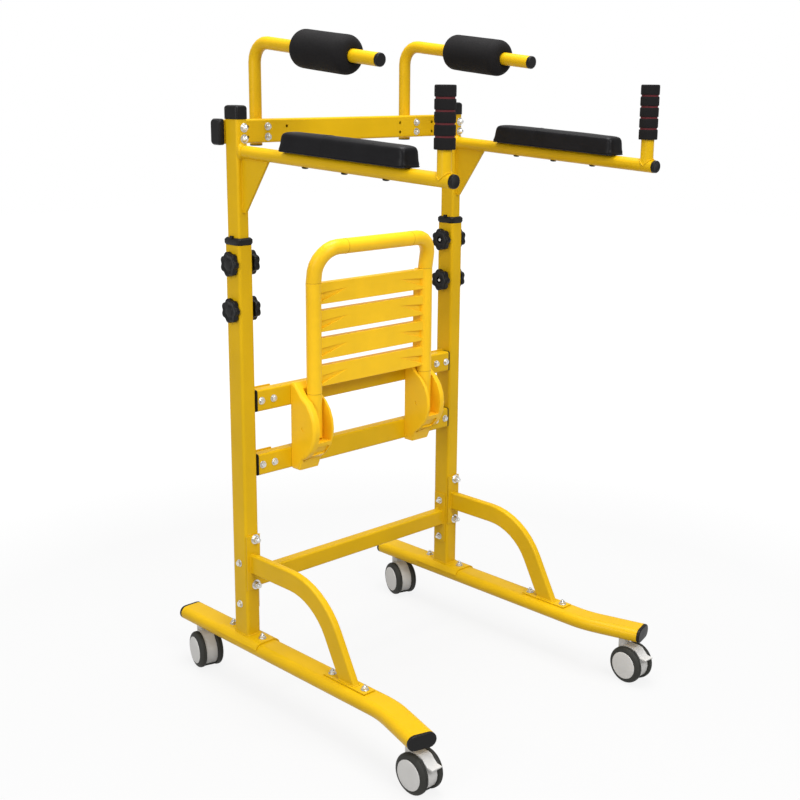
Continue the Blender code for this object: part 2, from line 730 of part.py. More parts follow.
def make_bracket(side, sign, root):
    """A moulded hinge housing: two cheeks round a slot, which ends above the heel and stops it there."""
    rings = []
    for at, inset in bracket_stations():
        start = Vector((sign * (BRACKET_INNER_X + at), 0, 0))
        rings.append(ring(bracket_outline(inset), start, Y_AXIS, Z_AXIS))
    bracket = loft(f"seat_bracket_{side}", rings, "yellow_plastic")
    hinge = (SEAT_HINGE_Y, SEAT_HINGE_Z)
    reach = SEAT_TUBE_RADIUS + RUNNING_GAP
    x = sign * SEAT_TUBE_X
    front = BRACKET_ARC_CENTRE[0] - BRACKET_ARC_RADIUS - WELD
    low = (x - reach, front, SEAT_HINGE_Z - reach)
    high = (x + reach, SEAT_HINGE_Y + reach, BRACKET_TOP + WELD)
    heel = SEAT_HEEL + RUNNING_GAP
    heel_low = (x - reach, front, SEAT_HINGE_Z - heel)
    heel_high = (x + reach, SEAT_HINGE_Y + heel, SEAT_HINGE_Z + reach)
    pin_hole = rod(
        "pin_hole",
        Vector((sign * (BRACKET_INNER_X - WELD), *hinge)),
        Vector((sign * (BRACKET_OUTER_X + WELD), *hinge)),
        SEAT_PIN_RADIUS + GAP,
        count=12,
    )
    outside = arc(BRACKET_ARC_CENTRE, BRACKET_ARC_RADIUS + WELD, *BRACKET_RECESS_ARC, 2)
    inside = arc(BRACKET_ARC_CENTRE, BRACKET_ARC_RADIUS - BRACKET_RECESS, *BRACKET_RECESS_ARC, 2)
    start = Vector((x - reach, 0, 0))
    recess = prism("recess", outside + inside[::-1], start, Y_AXIS, Z_AXIS, 2 * reach)
    slots = (box("slot", low, high), box("heel_slot", heel_low, heel_high))
    cuts = (*slots, pin_hole, recess, make_bracket_slit(sign))
    for cut in cuts:
        combine(bracket, "DIFFERENCE", cut)
    bracket.data.materials.clear()
    bracket.data.materials.append(MATERIALS["yellow_plastic"])
    hang(bracket, root, (x, *hinge))


def make_bracket_slit(sign):
    """The narrow slanting slit in a housing's chin."""
    middle = sign * (BRACKET_INNER_X + BRACKET_OUTER_X) / 2 - BRACKET_SLIT_OFFSET
    deepest = BRACKET_BACK - BRACKET_FOOT_DEPTH
    centre = Vector((middle, deepest, BRACKET_BOTTOM + BRACKET_SLIT_RISE))
    run = Vector((math.cos(BRACKET_SLIT_SLOPE), 0, math.sin(BRACKET_SLIT_SLOPE)))
    half = BRACKET_SLIT_WIDTH / 2
    reach = BRACKET_SLIT_LENGTH / 2
    corners = [(-reach, -half), (reach, -half), (reach, half), (-reach, half)]
    across = run.cross(-Y_AXIS) * -1
    return prism("slit", corners, centre, run, across, 2 * BRACKET_FOOT_DEPTH)


def seat_bow_path():
    """Half of the bow's centre line from the left sleeve to the middle, then its mirror image."""
    radius = SEAT_CORNER_RADIUS
    corner_z = SEAT_TOP_Z - radius
    path = [Vector((SEAT_TUBE_X, SEAT_HINGE_Y, SEAT_SLEEVE_TOP + GAP))]
    for step in range(7):
        angle = math.pi / 2 * step / 6
        x = SEAT_TUBE_X - radius + radius * math.cos(angle)
        path.append(Vector((x, 0, corner_z + radius * math.sin(angle))))
    lean_start = SEAT_SLEEVE_TOP
    for point in path[1:]:
        share = (point.z - lean_start) / (SEAT_TOP_Z - lean_start)
        point.y = SEAT_HINGE_Y - SEAT_TOP_LEAN * share ** 1.5
    return path + [Vector((-p.x, p.y, p.z)) for p in reversed(path)]


def make_seat(hinge_y, hinge_z, root):
    axis = empty("seat_hinge_axis", (0, hinge_y, hinge_z), parent=root)
    pivot = Vector((0, hinge_y, hinge_z))

    def ride(obj, at):
        obj.data.transform(Matrix.Translation(-at))
        obj.parent = axis
        obj.location = at - pivot
        obj.data.shade_smooth()
        obj.data.set_sharp_from_angle(angle=math.radians(35))

    path = seat_bow_path()
    outer = circle(SEAT_TUBE_RADIUS, SEAT_SEGMENTS)
    thin = circle(SEAT_INNER_RADIUS, SEAT_SEGMENTS)
    rings = sweep_rings(outer, path, Y_AXIS)
    rings[0] = ring(outer, path[0], Y_AXIS, X_AXIS * -1)
    rings[-1] = ring(outer, path[-1], Y_AXIS, X_AXIS)
    ends = []
    for end, direction in ((path[0], -X_AXIS), (path[-1], X_AXIS)):
        low = Vector((end.x, end.y, SEAT_SPIGOT_BOTTOM))
        ends.append([ring(thin, low, Y_AXIS, direction), ring(thin, end, Y_AXIS, direction)])
    rings = ends[0] + rings + list(reversed(ends[1]))
    ride(loft("seat_bow", rings, "yellow_plastic"), Vector((0, SEAT_HINGE_Y - SEAT_TOP_LEAN, SEAT_TOP_Z)))

    ride(make_seat_panel(), Vector((0, SEAT_HINGE_Y, (SLAT_BOTTOM + SLAT_TOP) / 2)))
    for side, sign in SIDES:
        ride(make_hinge_arm(side, sign), Vector((sign * SEAT_TUBE_X, SEAT_HINGE_Y, SEAT_HINGE_Z)))


def make_seat_panel():
    """Two sleeves over the seat's side tubes with four slats moulded between them."""
    half = SLAT_THICKNESS / 2
    reach = SEAT_TUBE_X
    sleeves = []
    for _, sign in SIDES:
        x = sign * SEAT_TUBE_X
        low = Vector((x, SEAT_HINGE_Y, SEAT_SLEEVE_BOTTOM))
        high = Vector((x, SEAT_HINGE_Y, SEAT_SLEEVE_TOP))
        sleeves.append(rod("sleeve", low, high, SEAT_TUBE_RADIUS, count=SEAT_SEGMENTS))
    low = (-reach, SEAT_HINGE_Y - half, SLAT_BOTTOM)
    high = (reach, SEAT_HINGE_Y + half, SLAT_TOP)
    panel = box("seat_panel", low, high, "yellow_plastic")
    webs = []
    for _, sign in SIDES:
        ends = sorted((sign * SLAT_GAP_HALF, sign * (SLAT_GAP_HALF + SEAT_TUBE_RADIUS / 2)))
        back = SEAT_HINGE_Y + SEAT_TUBE_RADIUS - WELD
        webs.append(box("web", (ends[0], SEAT_HINGE_Y, SLAT_BOTTOM), (ends[1], back, SLAT_TOP)))
    combine(panel, "UNION", *sleeves, *webs)
    cuts = []
    for centre in SLAT_GAPS:
        gap = SLAT_GAP_HEIGHT / 2
        low = (-SLAT_GAP_HALF, SEAT_HINGE_Y - 2 * half, centre - gap)
        cuts.append(box("slat_gap", low, (SLAT_GAP_HALF, SEAT_HINGE_Y + 2 * half, centre + gap)))
    bounds = [SLAT_BOTTOM, *SLAT_GAPS, SLAT_TOP]
    for lower, upper in zip(bounds, bounds[1:]):
        middle = (lower + upper) / 2
        for _, sign in SIDES:
            cuts.append(make_slat_pocket(sign, middle, SEAT_HINGE_Y - half))
    for _, sign in SIDES:
        x = sign * SEAT_TUBE_X
        low = Vector((x, SEAT_HINGE_Y, SEAT_SLEEVE_BOTTOM - PLATE))
        high = Vector((x, SEAT_HINGE_Y, SEAT_SLEEVE_TOP + PLATE))
        cuts.append(rod("tube_bore", low, high, SEAT_INNER_RADIUS + GAP, count=SEAT_SEGMENTS))
    for cut in cuts:
        combine(panel, "DIFFERENCE", cut)
    panel.data.materials.clear()
    panel.data.materials.append(MATERIALS["yellow_plastic"])
    return panel


def make_slat_pocket(sign, middle, face):
    """A wedge sunk in a slat's face, wide at the side tube and closing upwards towards the middle."""
    edge = SEAT_TUBE_X - SEAT_TUBE_RADIUS + WELD
    tip = sign * (edge - SLAT_POCKET_LENGTH)
    outline = [(sign * edge, -SLAT_POCKET_BOTTOM), (sign * edge, SLAT_POCKET_TOP), (tip, SLAT_POCKET_TIP)]
    start = Vector((0, face + SLAT_POCKET_DEPTH, middle))
    return prism("pocket", outline, start, X_AXIS, Z_AXIS, 2 * SLAT_POCKET_DEPTH)


def make_hinge_arm(side, sign):
    """The seat's lower end: a round arm on a pivot pin, with a rounded heel below and a socket above."""
    x = sign * SEAT_TUBE_X
    pivot = Vector((x, SEAT_HINGE_Y, SEAT_HINGE_Z))
    top = Vector((x, SEAT_HINGE_Y, SEAT_SLEEVE_BOTTOM - GAP))
    arm = rod(f"seat_hinge_arm_{side}", pivot, top, SEAT_TUBE_RADIUS, "yellow_plastic", SEAT_SEGMENTS)
    half = X_AXIS * (SEAT_TUBE_RADIUS + WELD)
    heel_low = pivot - Z_AXIS * (SEAT_HEEL + WELD)
    heel = rod("heel", heel_low, pivot + Z_AXIS * WELD, SEAT_TUBE_RADIUS, count=SEAT_SEGMENTS)
    turned = rod("heel_round", pivot - half, pivot + half, SEAT_HEEL, count=2 * SEAT_SEGMENTS)
    combine(heel, "INTERSECT", turned)
    combine(arm, "UNION", heel)
    socket_low = Vector((x, SEAT_HINGE_Y, SEAT_SPIGOT_BOTTOM - GAP))
    socket = rod("socket", socket_low, top + Z_AXIS * PLATE, SEAT_INNER_RADIUS + GAP, count=SEAT_SEGMENTS)
    outer = Vector((sign * (BRACKET_OUTER_X - WELD), SEAT_HINGE_Y, SEAT_HINGE_Z))
    inner = Vector((sign * (BRACKET_INNER_X + WELD), SEAT_HINGE_Y, SEAT_HINGE_Z))
    combine(arm, "DIFFERENCE", socket)
    return combine(arm, "UNION", rod("pivot_pin", inner, outer, SEAT_PIN_RADIUS, count=12))


def make_collar(side, sign, root):
    """The bush at the top of a lower upright: a lip outside and a sleeve that guides the inner tube."""
    x = sign * COLUMN_X
    width = LOWER_TUBE_WIDTH + 2 * COLLAR_OVERHANG
    depth = LOWER_TUBE_DEPTH + 2 * COLLAR_OVERHANG
    sleeve_width = LOWER_TUBE_WIDTH - 2 * (TUBE_WALL + GAP)
    sleeve_depth = LOWER_TUBE_DEPTH - 2 * (TUBE_WALL + GAP)
    bore_width = UPPER_TUBE_WIDTH + 2 * GAP
    bore_depth = UPPER_TUBE_DEPTH + 2 * GAP
    seat = LOWER_TUBE_TOP + GAP
    edge = COLLAR_HEIGHT / 4
    lip_radius = LOWER_TUBE_RADIUS + COLLAR_OVERHANG
    sleeve_radius = LOWER_TUBE_RADIUS - TUBE_WALL
    stations = (
        (LOWER_TUBE_TOP - COLLAR_SLEEVE, sleeve_width, sleeve_depth, sleeve_radius),
        (seat, sleeve_width, sleeve_depth, sleeve_radius),
        (seat, width - edge, depth - edge, lip_radius),
        (seat + edge, width, depth, lip_radius),
        (seat + COLLAR_HEIGHT - edge, width, depth, lip_radius),
        (seat + COLLAR_HEIGHT, width - 2 * edge, depth - 2 * edge, lip_radius - edge / 2),
        (seat + COLLAR_HEIGHT, bore_width, bore_depth, UPPER_TUBE_RADIUS),
        (LOWER_TUBE_TOP - COLLAR_SLEEVE, bore_width, bore_depth, UPPER_TUBE_RADIUS),
    )
    rings = []
    for z, w, d, r in stations:
        rings.append(ring(rounded_rectangle(w, d, r), Vector((x, 0, z)), X_AXIS, Y_AXIS))
    collar = loft(f"height_collar_{side}", rings, "black_plastic", closed=True)
    bumps = []
    for way in (1, -1):
        middle = x + way * (bore_width / 2 + 1.5 * WELD + COLLAR_BUMP / 2)
        low = (middle - COLLAR_BUMP / 2, -COLLAR_BUMP, seat + COLLAR_HEIGHT - WELD)
        high = (middle + COLLAR_BUMP / 2, COLLAR_BUMP, seat + COLLAR_HEIGHT + COLLAR_BUMP)
        bumps.append(box("bump", low, high))
    combine(collar, "UNION", *bumps)
    hang(collar, root, (x, 0, LOWER_TUBE_TOP))


def make_knob(name, at, way, boss_length, thickness, root):
    """A lobed clamping knob whose screw ends at the inner tube. It is built along its own +X."""
    count = 4 * KNOB_LOBES
    screw_tip = (LOWER_TUBE_WIDTH - UPPER_TUBE_WIDTH) / 2 - GAP
    start = GAP
    base = start + boss_length
    top = base + thickness
    screw = circle(KNOB_SCREW_RADIUS, count)
    boss = circle(KNOB_BOSS_RADIUS, count)
    full = star(KNOB_RADIUS, KNOB_VALLEY, KNOB_LOBES, count)
    small = star(KNOB_RADIUS - KNOB_EDGE, KNOB_VALLEY, KNOB_LOBES, count)
    turned = [screw, screw, boss, boss]
    turned = [[outline[(i + count // 4) % count] for i in range(count)] for outline in turned]
    stations = list(zip((-screw_tip, start, start, base), turned))
    stations += [(base, small), (base + KNOB_EDGE, full), (top - KNOB_EDGE, full), (top, small)]
    rings = [ring(outline, X_AXIS * at_x, Y_AXIS, Z_AXIS) for at_x, outline in stations]
    knob = loft(name, rings, "black_plastic")
    hang(knob, root)
    knob.location = at
    knob.rotation_euler = (0, 0, 0 if way > 0 else math.pi)


def make_knobs(side, sign, root):
    for level, height in KNOB_HEIGHTS.items():
        for face, way in (("outer", sign), ("inner", -sign)):
            at = Vector((sign * COLUMN_X + way * LOWER_TUBE_WIDTH / 2, 0, height))
            name = f"knob_{face}_{level}_{side}"
            make_knob(name, at, way, KNOB_BOSS_LENGTH[face], KNOB_THICKNESS[face], root)


def arm_matrix(side, sign):
    """The arm's own frame: it starts at the upright's centre line and runs along -Y."""
    droop, _, toe = ARM_TILT[side]
    place = Matrix.Translation((sign * COLUMN_X, 0, ARM_Z))
    return place @ Matrix.Rotation(toe, 4, "Z") @ Matrix.Rotation(droop, 4, "X")


def make_upper_column(side, sign, mast):
    """The inner tube with its welded arm, gusset and hand-grip post."""
    x = sign * COLUMN_X
    outer = rounded_rectangle(UPPER_TUBE_WIDTH, UPPER_TUBE_DEPTH, UPPER_TUBE_RADIUS)
    inner = inner_outline(rounded_rectangle, UPPER_TUBE_WIDTH, UPPER_TUBE_DEPTH, UPPER_TUBE_RADIUS)
    foot = Vector((x, 0, UPPER_TUBE_BOTTOM))
    length = UPPER_TUBE_TOP - UPPER_TUBE_BOTTOM
    column = prism(f"upper_column_{side}", outer, foot, X_AXIS, Y_AXIS, length, "yellow_paint")
    frame = arm_matrix(side, sign)
    face = -UPPER_TUBE_DEPTH / 2
    arm_start = frame @ Vector((0, face + 2 * WELD, 0))
    arm_end = frame @ Vector((0, -ARM_LENGTH, 0))
    arm = rod("arm", arm_start, arm_end, ARM_RADIUS)
    under = ARM_Z - ARM_RADIUS + WELD
    outline = [
        (face + WELD, GUSSET_BOTTOM),
        (face + WELD, under),
        (-GUSSET_REACH, under - (GUSSET_REACH + face) * math.tan(ARM_DROOP)),
        (face - GUSSET_TOE, GUSSET_BOTTOM),
    ]
    start = Vector((x - GUSSET_THICKNESS / 2, 0, 0))
    gusset = prism("gusset", outline, start, Y_AXIS, Z_AXIS, GUSSET_THICKNESS)
    post_low = frame @ Vector((0, -POST_REACH, 0))
    post_high = post_low + Z_AXIS * (GRIP_TOP - GRIP_RADIUS / 2)
    post = rod("post", post_low, post_high, ARM_RADIUS)
    combine(column, "UNION", arm, gusset, post)
    bore = ARM_RADIUS - TUBE_WALL
    direction = (arm_end - arm_start).normalized()
    cuts = [
        prism("bore", inner, foot - Z_AXIS * PLATE, X_AXIS, Y_AXIS, length + 2 * PLATE),
        rod("arm_bore", frame @ Vector((0, face - WELD, 0)), arm_end + direction * PLATE, bore),
        rod("post_bore", post_low + Z_AXIS * 2 * ARM_RADIUS, post_high + Z_AXIS * PLATE, bore),
    ]
    for cut in cuts:
        combine(column, "DIFFERENCE", cut)
    column.data.materials.clear()
    column.data.materials.append(MATERIALS["yellow_paint"])
    hang(column, mast, (x, 0, 0))
    make_column_cap(side, x, mast)
    make_grip(side, post_low, mast)
    arm_axis = empty(f"arm_axis_{side}", frame.to_translation(), frame.to_euler(), mast)
    make_arm_pad(side, arm_axis)


def make_column_cap(side, x, mast):
    """A moulded cap over the top of the inner tube, with a spigot inside it."""
    seat = UPPER_TUBE_TOP + GAP
    width = UPPER_TUBE_WIDTH + 2 * CAP_OVERHANG
    depth = UPPER_TUBE_DEPTH + 2 * CAP_OVERHANG
    inner_width = UPPER_TUBE_WIDTH - 2 * (TUBE_WALL + GAP)
    inner_depth = UPPER_TUBE_DEPTH - 2 * (TUBE_WALL + GAP)
    inner_radius = UPPER_TUBE_RADIUS - TUBE_WALL
    radius = UPPER_TUBE_RADIUS + CAP_OVERHANG
    top = seat + CAP_HEIGHT
    stations = (
        (seat - CAP_SPIGOT, inner_width, inner_depth, inner_radius),
        (seat, inner_width, inner_depth, inner_radius),
        (seat, width, depth, radius),
        (top - CAP_EDGE, width, depth, radius),
        (top - CAP_EDGE * 0.3, width - CAP_EDGE * 0.6, depth - CAP_EDGE * 0.6, radius),
        (top, width - 2 * CAP_EDGE, depth - 2 * CAP_EDGE, radius - CAP_EDGE / 2),
    )
    rings = [ring(rounded_rectangle(w, d, r), Vector((x, 0, z)), X_AXIS, Y_AXIS) for z, w, d, r in stations]
    hang(loft(f"column_cap_{side}", rings, "black_plastic"), mast, (x, 0, UPPER_TUBE_TOP))


def make_grip(side, foot, mast):
    """A foam grip with shallow grooves, closed over the top of its post."""
    bore = ARM_RADIUS + GAP
    length = GRIP_TOP - GRIP_BOTTOM
    edge = 2 * GRIP_GROOVE_WIDTH / 3
    profile = [(0, bore), (0, GRIP_RADIUS - edge), (edge, GRIP_RADIUS)]
    for number in range(1, GRIP_GROOVES + 1):
        middle = length * number / (GRIP_GROOVES + 1)
        below = middle - GRIP_GROOVE_WIDTH / 2
        above = middle + GRIP_GROOVE_WIDTH / 2
        low = GRIP_RADIUS - GRIP_GROOVE_DEPTH
        profile += [(below, GRIP_RADIUS), (below, low), (above, low), (above, GRIP_RADIUS)]
    profile += [(length - edge, GRIP_RADIUS), (length, GRIP_RADIUS - edge)]
    roof = GRIP_TOP - GRIP_RADIUS / 2 - GRIP_BOTTOM + GAP
    start = foot + Z_AXIS * GRIP_BOTTOM
    grip = lathe(f"grip_{side}", [(roof, bore), *profile], start, Z_AXIS, "black_foam")
    hang(grip, mast, foot)


def make_arm_pad(side, arm_axis):
    """The forearm pad, in the arm's own frame."""
    length = PAD_FRONT - PAD_REAR
    base = ARM_RADIUS + GAP
    stations = (
        (base, 0),
        (PAD_TOP - PAD_CORNER, 0),
        (PAD_TOP - PAD_CORNER * 0.3, PAD_CORNER * 0.3),
        (PAD_TOP, PAD_CORNER),
    )
    middle = -(PAD_REAR + PAD_FRONT) / 2
    rings = []
    for z, inset in stations:
        outline = rounded_rectangle(PAD_WIDTH - 2 * inset, length - 2 * inset, PAD_CORNER)
        rings.append(ring(outline, Vector((0, middle, z)), X_AXIS, Y_AXIS))
    hang(loft(f"arm_pad_{side}", rings, "black_vinyl"), arm_axis, (0, middle, base))


def end_plug(name, at, direction, radius, thickness):
    """A round plug: a head as wide as its tube and a spigot inside it."""
    inner = radius - TUBE_WALL - GAP
    profile = (
        (-PLUG_DEPTH, inner),
        (GAP, inner),
        (GAP, radius),
        (thickness - PLUG_EDGE, radius),
        (thickness, radius - PLUG_EDGE),
    )
    return lathe(name, profile, at, direction, "black_plastic")


def make_top_bar(mast):
    """The rectangular bar behind the columns, with spare bolt holes on both sides of each underarm tube."""
    y = TOP_BAR_FRONT + TOP_BAR_DEPTH / 2
    stations = [-TOP_BAR_HALF]
    for _, sign in reversed(SIDES):
        for step in (-1.5, -0.5, 0.5, 1.5):
            stations.append(sign * SHOULDER_X + step * TOP_BAR_HOLE_PITCH)
    path = [Vector((x, y, TOP_BAR_Z)) for x in stations + [TOP_BAR_HALF]]
    outer = rounded_rectangle(TOP_BAR_DEPTH, TOP_BAR_HEIGHT, BAR_RADIUS)
    inner = inner_outline(rounded_rectangle, TOP_BAR_DEPTH, TOP_BAR_HEIGHT, BAR_RADIUS)
    bar = tube("top_bar", path, outer, inner, Y_AXIS, "yellow_paint")
    holes = []
    for step in (-1, 1):
        for _, sign in SIDES:
            x = sign * SHOULDER_X + step * TOP_BAR_HOLE_PITCH
            for z in TOP_BAR_HOLE_Z:
                low = Vector((x, TOP_BAR_FRONT - PLATE, z))
                high = low + Y_AXIS * (TOP_BAR_DEPTH + 2 * PLATE)
                holes.append(rod("hole", low, high, TOP_BAR_HOLE_RADIUS, count=16))
    combine(bar, "DIFFERENCE", *holes)
    hang(bar, mast, (0, y, TOP_BAR_Z))
    for side, sign in SIDES:
        make_bar_cap(side, sign, y, mast)


def make_bar_cap(side, sign, y, mast):
    end = TOP_BAR_HALF + GAP
    width = TOP_BAR_DEPTH + 2 * BAR_CAP_OVERHANG
    height = TOP_BAR_HEIGHT + 2 * BAR_CAP_OVERHANG
    inner_width = TOP_BAR_DEPTH - 2 * (TUBE_WALL + GAP)
    inner_height = TOP_BAR_HEIGHT - 2 * (TUBE_WALL + GAP)
    inner_radius = BAR_RADIUS - TUBE_WALL
    radius = BAR_RADIUS + BAR_CAP_OVERHANG
    stations = (
        (end - CAP_SPIGOT, inner_width, inner_height, inner_radius),
        (end, inner_width, inner_height, inner_radius),
        (end, width, height, radius),
        (end + BAR_CAP_THICKNESS - CAP_EDGE, width, height, radius),
        (end + BAR_CAP_THICKNESS, width - CAP_EDGE, height - CAP_EDGE, radius),
    )
    rings = []
    for x, w, h, r in stations:
        rings.append(ring(rounded_rectangle(w, h, r), Vector((sign * x, y, TOP_BAR_Z)), Y_AXIS, Z_AXIS))
    hang(loft(f"top_bar_cap_{side}", rings, "black_plastic"), mast, (sign * TOP_BAR_HALF, y, TOP_BAR_Z))


def shoulder_direction():
    """The way the front run of an underarm tube points."""
    return Vector((0, -math.cos(SHOULDER_SLOPE), -math.sin(SHOULDER_SLOPE)))


def shoulder_path(sign):
    x = sign * SHOULDER_X
    path = [Vector((x, SHOULDER_Y, SHOULDER_BOTTOM))]
    centre_y = SHOULDER_Y - SHOULDER_BEND_RADIUS
    turn = math.pi / 2 + SHOULDER_SLOPE
    for step in range(SHOULDER_STEPS + 1):
        angle = turn * step / SHOULDER_STEPS
        y = centre_y + SHOULDER_BEND_RADIUS * math.cos(angle)
        z = SHOULDER_BEND_Z + SHOULDER_BEND_RADIUS * math.sin(angle)
        path.append(Vector((x, y, z)))
    last = path[-1]
    path.append(last + shoulder_direction() * ((SHOULDER_FRONT + last.y) / math.cos(SHOULDER_SLOPE)))
    return path


def make_shoulder(side, sign, mast):
    """A bent underarm tube with its foam roller and front plug."""
    path = shoulder_path(sign)
    outer = circle(SHOULDER_RADIUS, 16)
    inner = circle(SHOULDER_RADIUS - TUBE_WALL, 16)
    name = f"shoulder_tube_{side}"
    hang(tube(name, path, outer, inner, X_AXIS, "yellow_paint"), mast, path[0])
    direction = shoulder_direction()
    start = path[-2] + direction * ((ROLLER_REAR + path[-2].y) / math.cos(SHOULDER_SLOPE))
    length = (ROLLER_FRONT - ROLLER_REAR) / math.cos(SHOULDER_SLOPE)
    bore = SHOULDER_RADIUS + GAP
    edge = ROLLER_EDGE
    rear = [(0, bore)]
    for step in range(4):
        angle = math.pi / 2 * step / 3
        rear.append((edge * (1 - math.cos(angle)), ROLLER_RADIUS - edge * (1 - math.sin(angle))))
    front = [(length - at, radius) for at, radius in reversed(rear)]
    hang(lathe(f"roller_{side}", rear + front, start, direction, "black_foam", closed=True), mast, start)
    plug = end_plug(f"shoulder_plug_{side}", path[-1], direction, SHOULDER_RADIUS, SHOULDER_PLUG)
    hang(plug, mast, path[-1])


def wheel_profile():
    """One wheel from the bottom of its blind bore, round the tread, to its hub face: (depth, radius)."""
    rim = WHEEL_WIDTH - HUB_PROUD
    edge = WHEEL_INNER_EDGE
    crown = rim - WHEEL_SHOULDER
    rise = WHEEL_RADIUS - HUB_RADIUS - HUB_PROUD
    profile = [(AXLE_DEPTH, AXLE_RADIUS + GAP), (0, AXLE_RADIUS + GAP), (0, WHEEL_RADIUS - edge)]
    profile += [(edge, WHEEL_RADIUS)]
    for step in range(4):
        angle = math.pi / 2 * step / 3
        depth = crown + WHEEL_SHOULDER * math.sin(angle)
        profile.append((depth, WHEEL_RADIUS - rise * (1 - math.cos(angle))))
    return profile + [(rim, HUB_RADIUS), (WHEEL_WIDTH, HUB_RADIUS)]


def housing_outline():
    """The caster's hood from the side: round the wheels, flat on top, with a nose for the pedal's barrel."""
    axle = (-CASTER_TRAIL, WHEEL_RADIUS)
    lip_drop = WELD + PEDAL_LIP * math.sin(PEDAL_SWING) + GAP
    lip = (PEDAL_PIVOT_Y - PEDAL_LIP, PEDAL_PIVOT_Z - lip_drop)
    outline = arc(axle, HOUSING_RADIUS, *HOUSING_ARC, 16)
    back = outline[-1][0]
    return outline + [(back, HOUSING_TOP), (PEDAL_PIVOT_Y + PEDAL_BARREL, HOUSING_TOP), lip]


def make_caster(corner, sign, y, root):
    """A twin-wheel caster in its own frame, which stands on the floor under the swivel stem."""
    at = leg_centre(y, sign)
    swivel = empty(f"caster_swivel_{corner}", (at.x, at.y, 0), (0, 0, SWIVEL_ANGLES[corner]), root)
    start = Vector((-HOUSING_WIDTH / 2, 0, 0))
    name = f"caster_housing_{corner}"
    housing = prism(name, housing_outline(), start, Y_AXIS, Z_AXIS, HOUSING_WIDTH, "grey_plastic")
    neck_top = CASTER_HEIGHT - GAP
    axle = Vector((0, -CASTER_TRAIL, WHEEL_RADIUS))
    tip = X_AXIS * (HOUSING_WIDTH / 2 + RUNNING_GAP + AXLE_DEPTH - GAP)
    joined = [
        rod("neck", Z_AXIS * WHEEL_RADIUS, Z_AXIS * neck_top, NECK_RADIUS, count=16),
        rod("stem", Z_AXIS * HOUSING_TOP, Z_AXIS * (neck_top + STEM_LENGTH), STEM_RADIUS, count=12),
        rod("axle", axle - tip, axle + tip, AXLE_RADIUS, count=12),
    ]
    for piece in joined:
        combine(housing, "UNION", piece)
    pivot = Vector((0, PEDAL_PIVOT_Y, PEDAL_PIVOT_Z))
    if corner.startswith("front"):
        reach = X_AXIS * HOUSING_WIDTH
        cradle = rod("cradle", pivot - reach, pivot + reach, PEDAL_BARREL + GAP, count=16)
        combine(housing, "DIFFERENCE", cradle)
    hang(housing, swivel)
    for way, face in ((sign, "outer"), (-sign, "inner")):
        start = axle + X_AXIS * way * (HOUSING_WIDTH / 2 + RUNNING_GAP)
        name = f"wheel_{face}_{corner}"
        hang(lathe(name, wheel_profile(), start, X_AXIS * way, "tyre_rubber", WHEEL_SEGMENTS), swivel, axle)
    if corner.startswith("front"):
        hang(make_pedal(f"brake_pedal_{corner}", pivot), swivel, pivot)


def make_pedal(name, pivot):
    """A brake pedal: a hollowed beak that runs down from its barrel and flares out to its tip."""
    half = PEDAL_THICKNESS / 2
    shape = [
        (0, PEDAL_BARREL),
        (-PEDAL_REACH * 0.26, PEDAL_BARREL - PEDAL_DROP * 0.16),
        (-PEDAL_REACH * 0.46, -PEDAL_DROP * 0.42),
        (-PEDAL_REACH * 0.66, -PEDAL_DROP * 0.78),
        (-PEDAL_REACH, half - PEDAL_DROP),
        (-PEDAL_REACH, -PEDAL_DROP),
        (-PEDAL_REACH * 0.66, -PEDAL_DROP * 1.06),
        (-PEDAL_REACH * 0.50, -PEDAL_DROP * 0.82),
        (-PEDAL_REACH * 0.28, -PEDAL_DROP * 0.16),
        (-PEDAL_BARREL, 0),
    ]
    outline = [(pivot.y + a, pivot.z + b) for a, b in shape]
    start = Vector((-PEDAL_WIDTH / 2, 0, 0))
    pedal = prism(name, outline, start, Y_AXIS, Z_AXIS, PEDAL_WIDTH, "grey_plastic")
    reach = X_AXIS * PEDAL_WIDTH / 2
    return combine(pedal, "UNION", rod("barrel", pivot - reach, pivot + reach, PEDAL_BARREL, count=16))


def centre_footprint(root):
    """Moves the whole object so that its footprint is centred on the origin."""
    bpy.context.view_layer.update()
    lows = []
    highs = []
    for obj in bpy.data.objects:
        if obj.type == "MESH":
            depths = [(obj.matrix_world @ vertex.co).y for vertex in obj.data.vertices]
            lows.append(min(depths))
            highs.append(max(depths))
    root.location.y = -(min(lows) + max(highs)) / 2


def main():
    root = empty("frame_base", (0, 0, 0))
    mast = empty("height_slide", (0, 0, 0), parent=root)
    for side, sign in SIDES:
        make_leg(side, sign, root)
        make_lower_upright(side, sign, root)
        make_brace(side, sign, root)
        make_bracket(side, sign, root)
        make_collar(side, sign, root)
        make_knobs(side, sign, root)
        make_upper_column(side, sign, mast)
        make_shoulder(side, sign, mast)
        make_caster(f"front_{side}", sign, CASTER_FRONT_Y, root)
        make_caster(f"rear_{side}", sign, CASTER_REAR_Y, root)
    make_cross_bar(root)
    for name, height in RAIL_CENTRES.items():
        make_rail(f"{name}_rail", height, root)
    make_seat(SEAT_HINGE_Y, SEAT_HINGE_Z, root)
    make_top_bar(mast)
    centre_footprint(root)


main()
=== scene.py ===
import math

import bmesh
import bpy
from mathutils import Matrix, Vector, noise
from mathutils.bvhtree import BVHTree


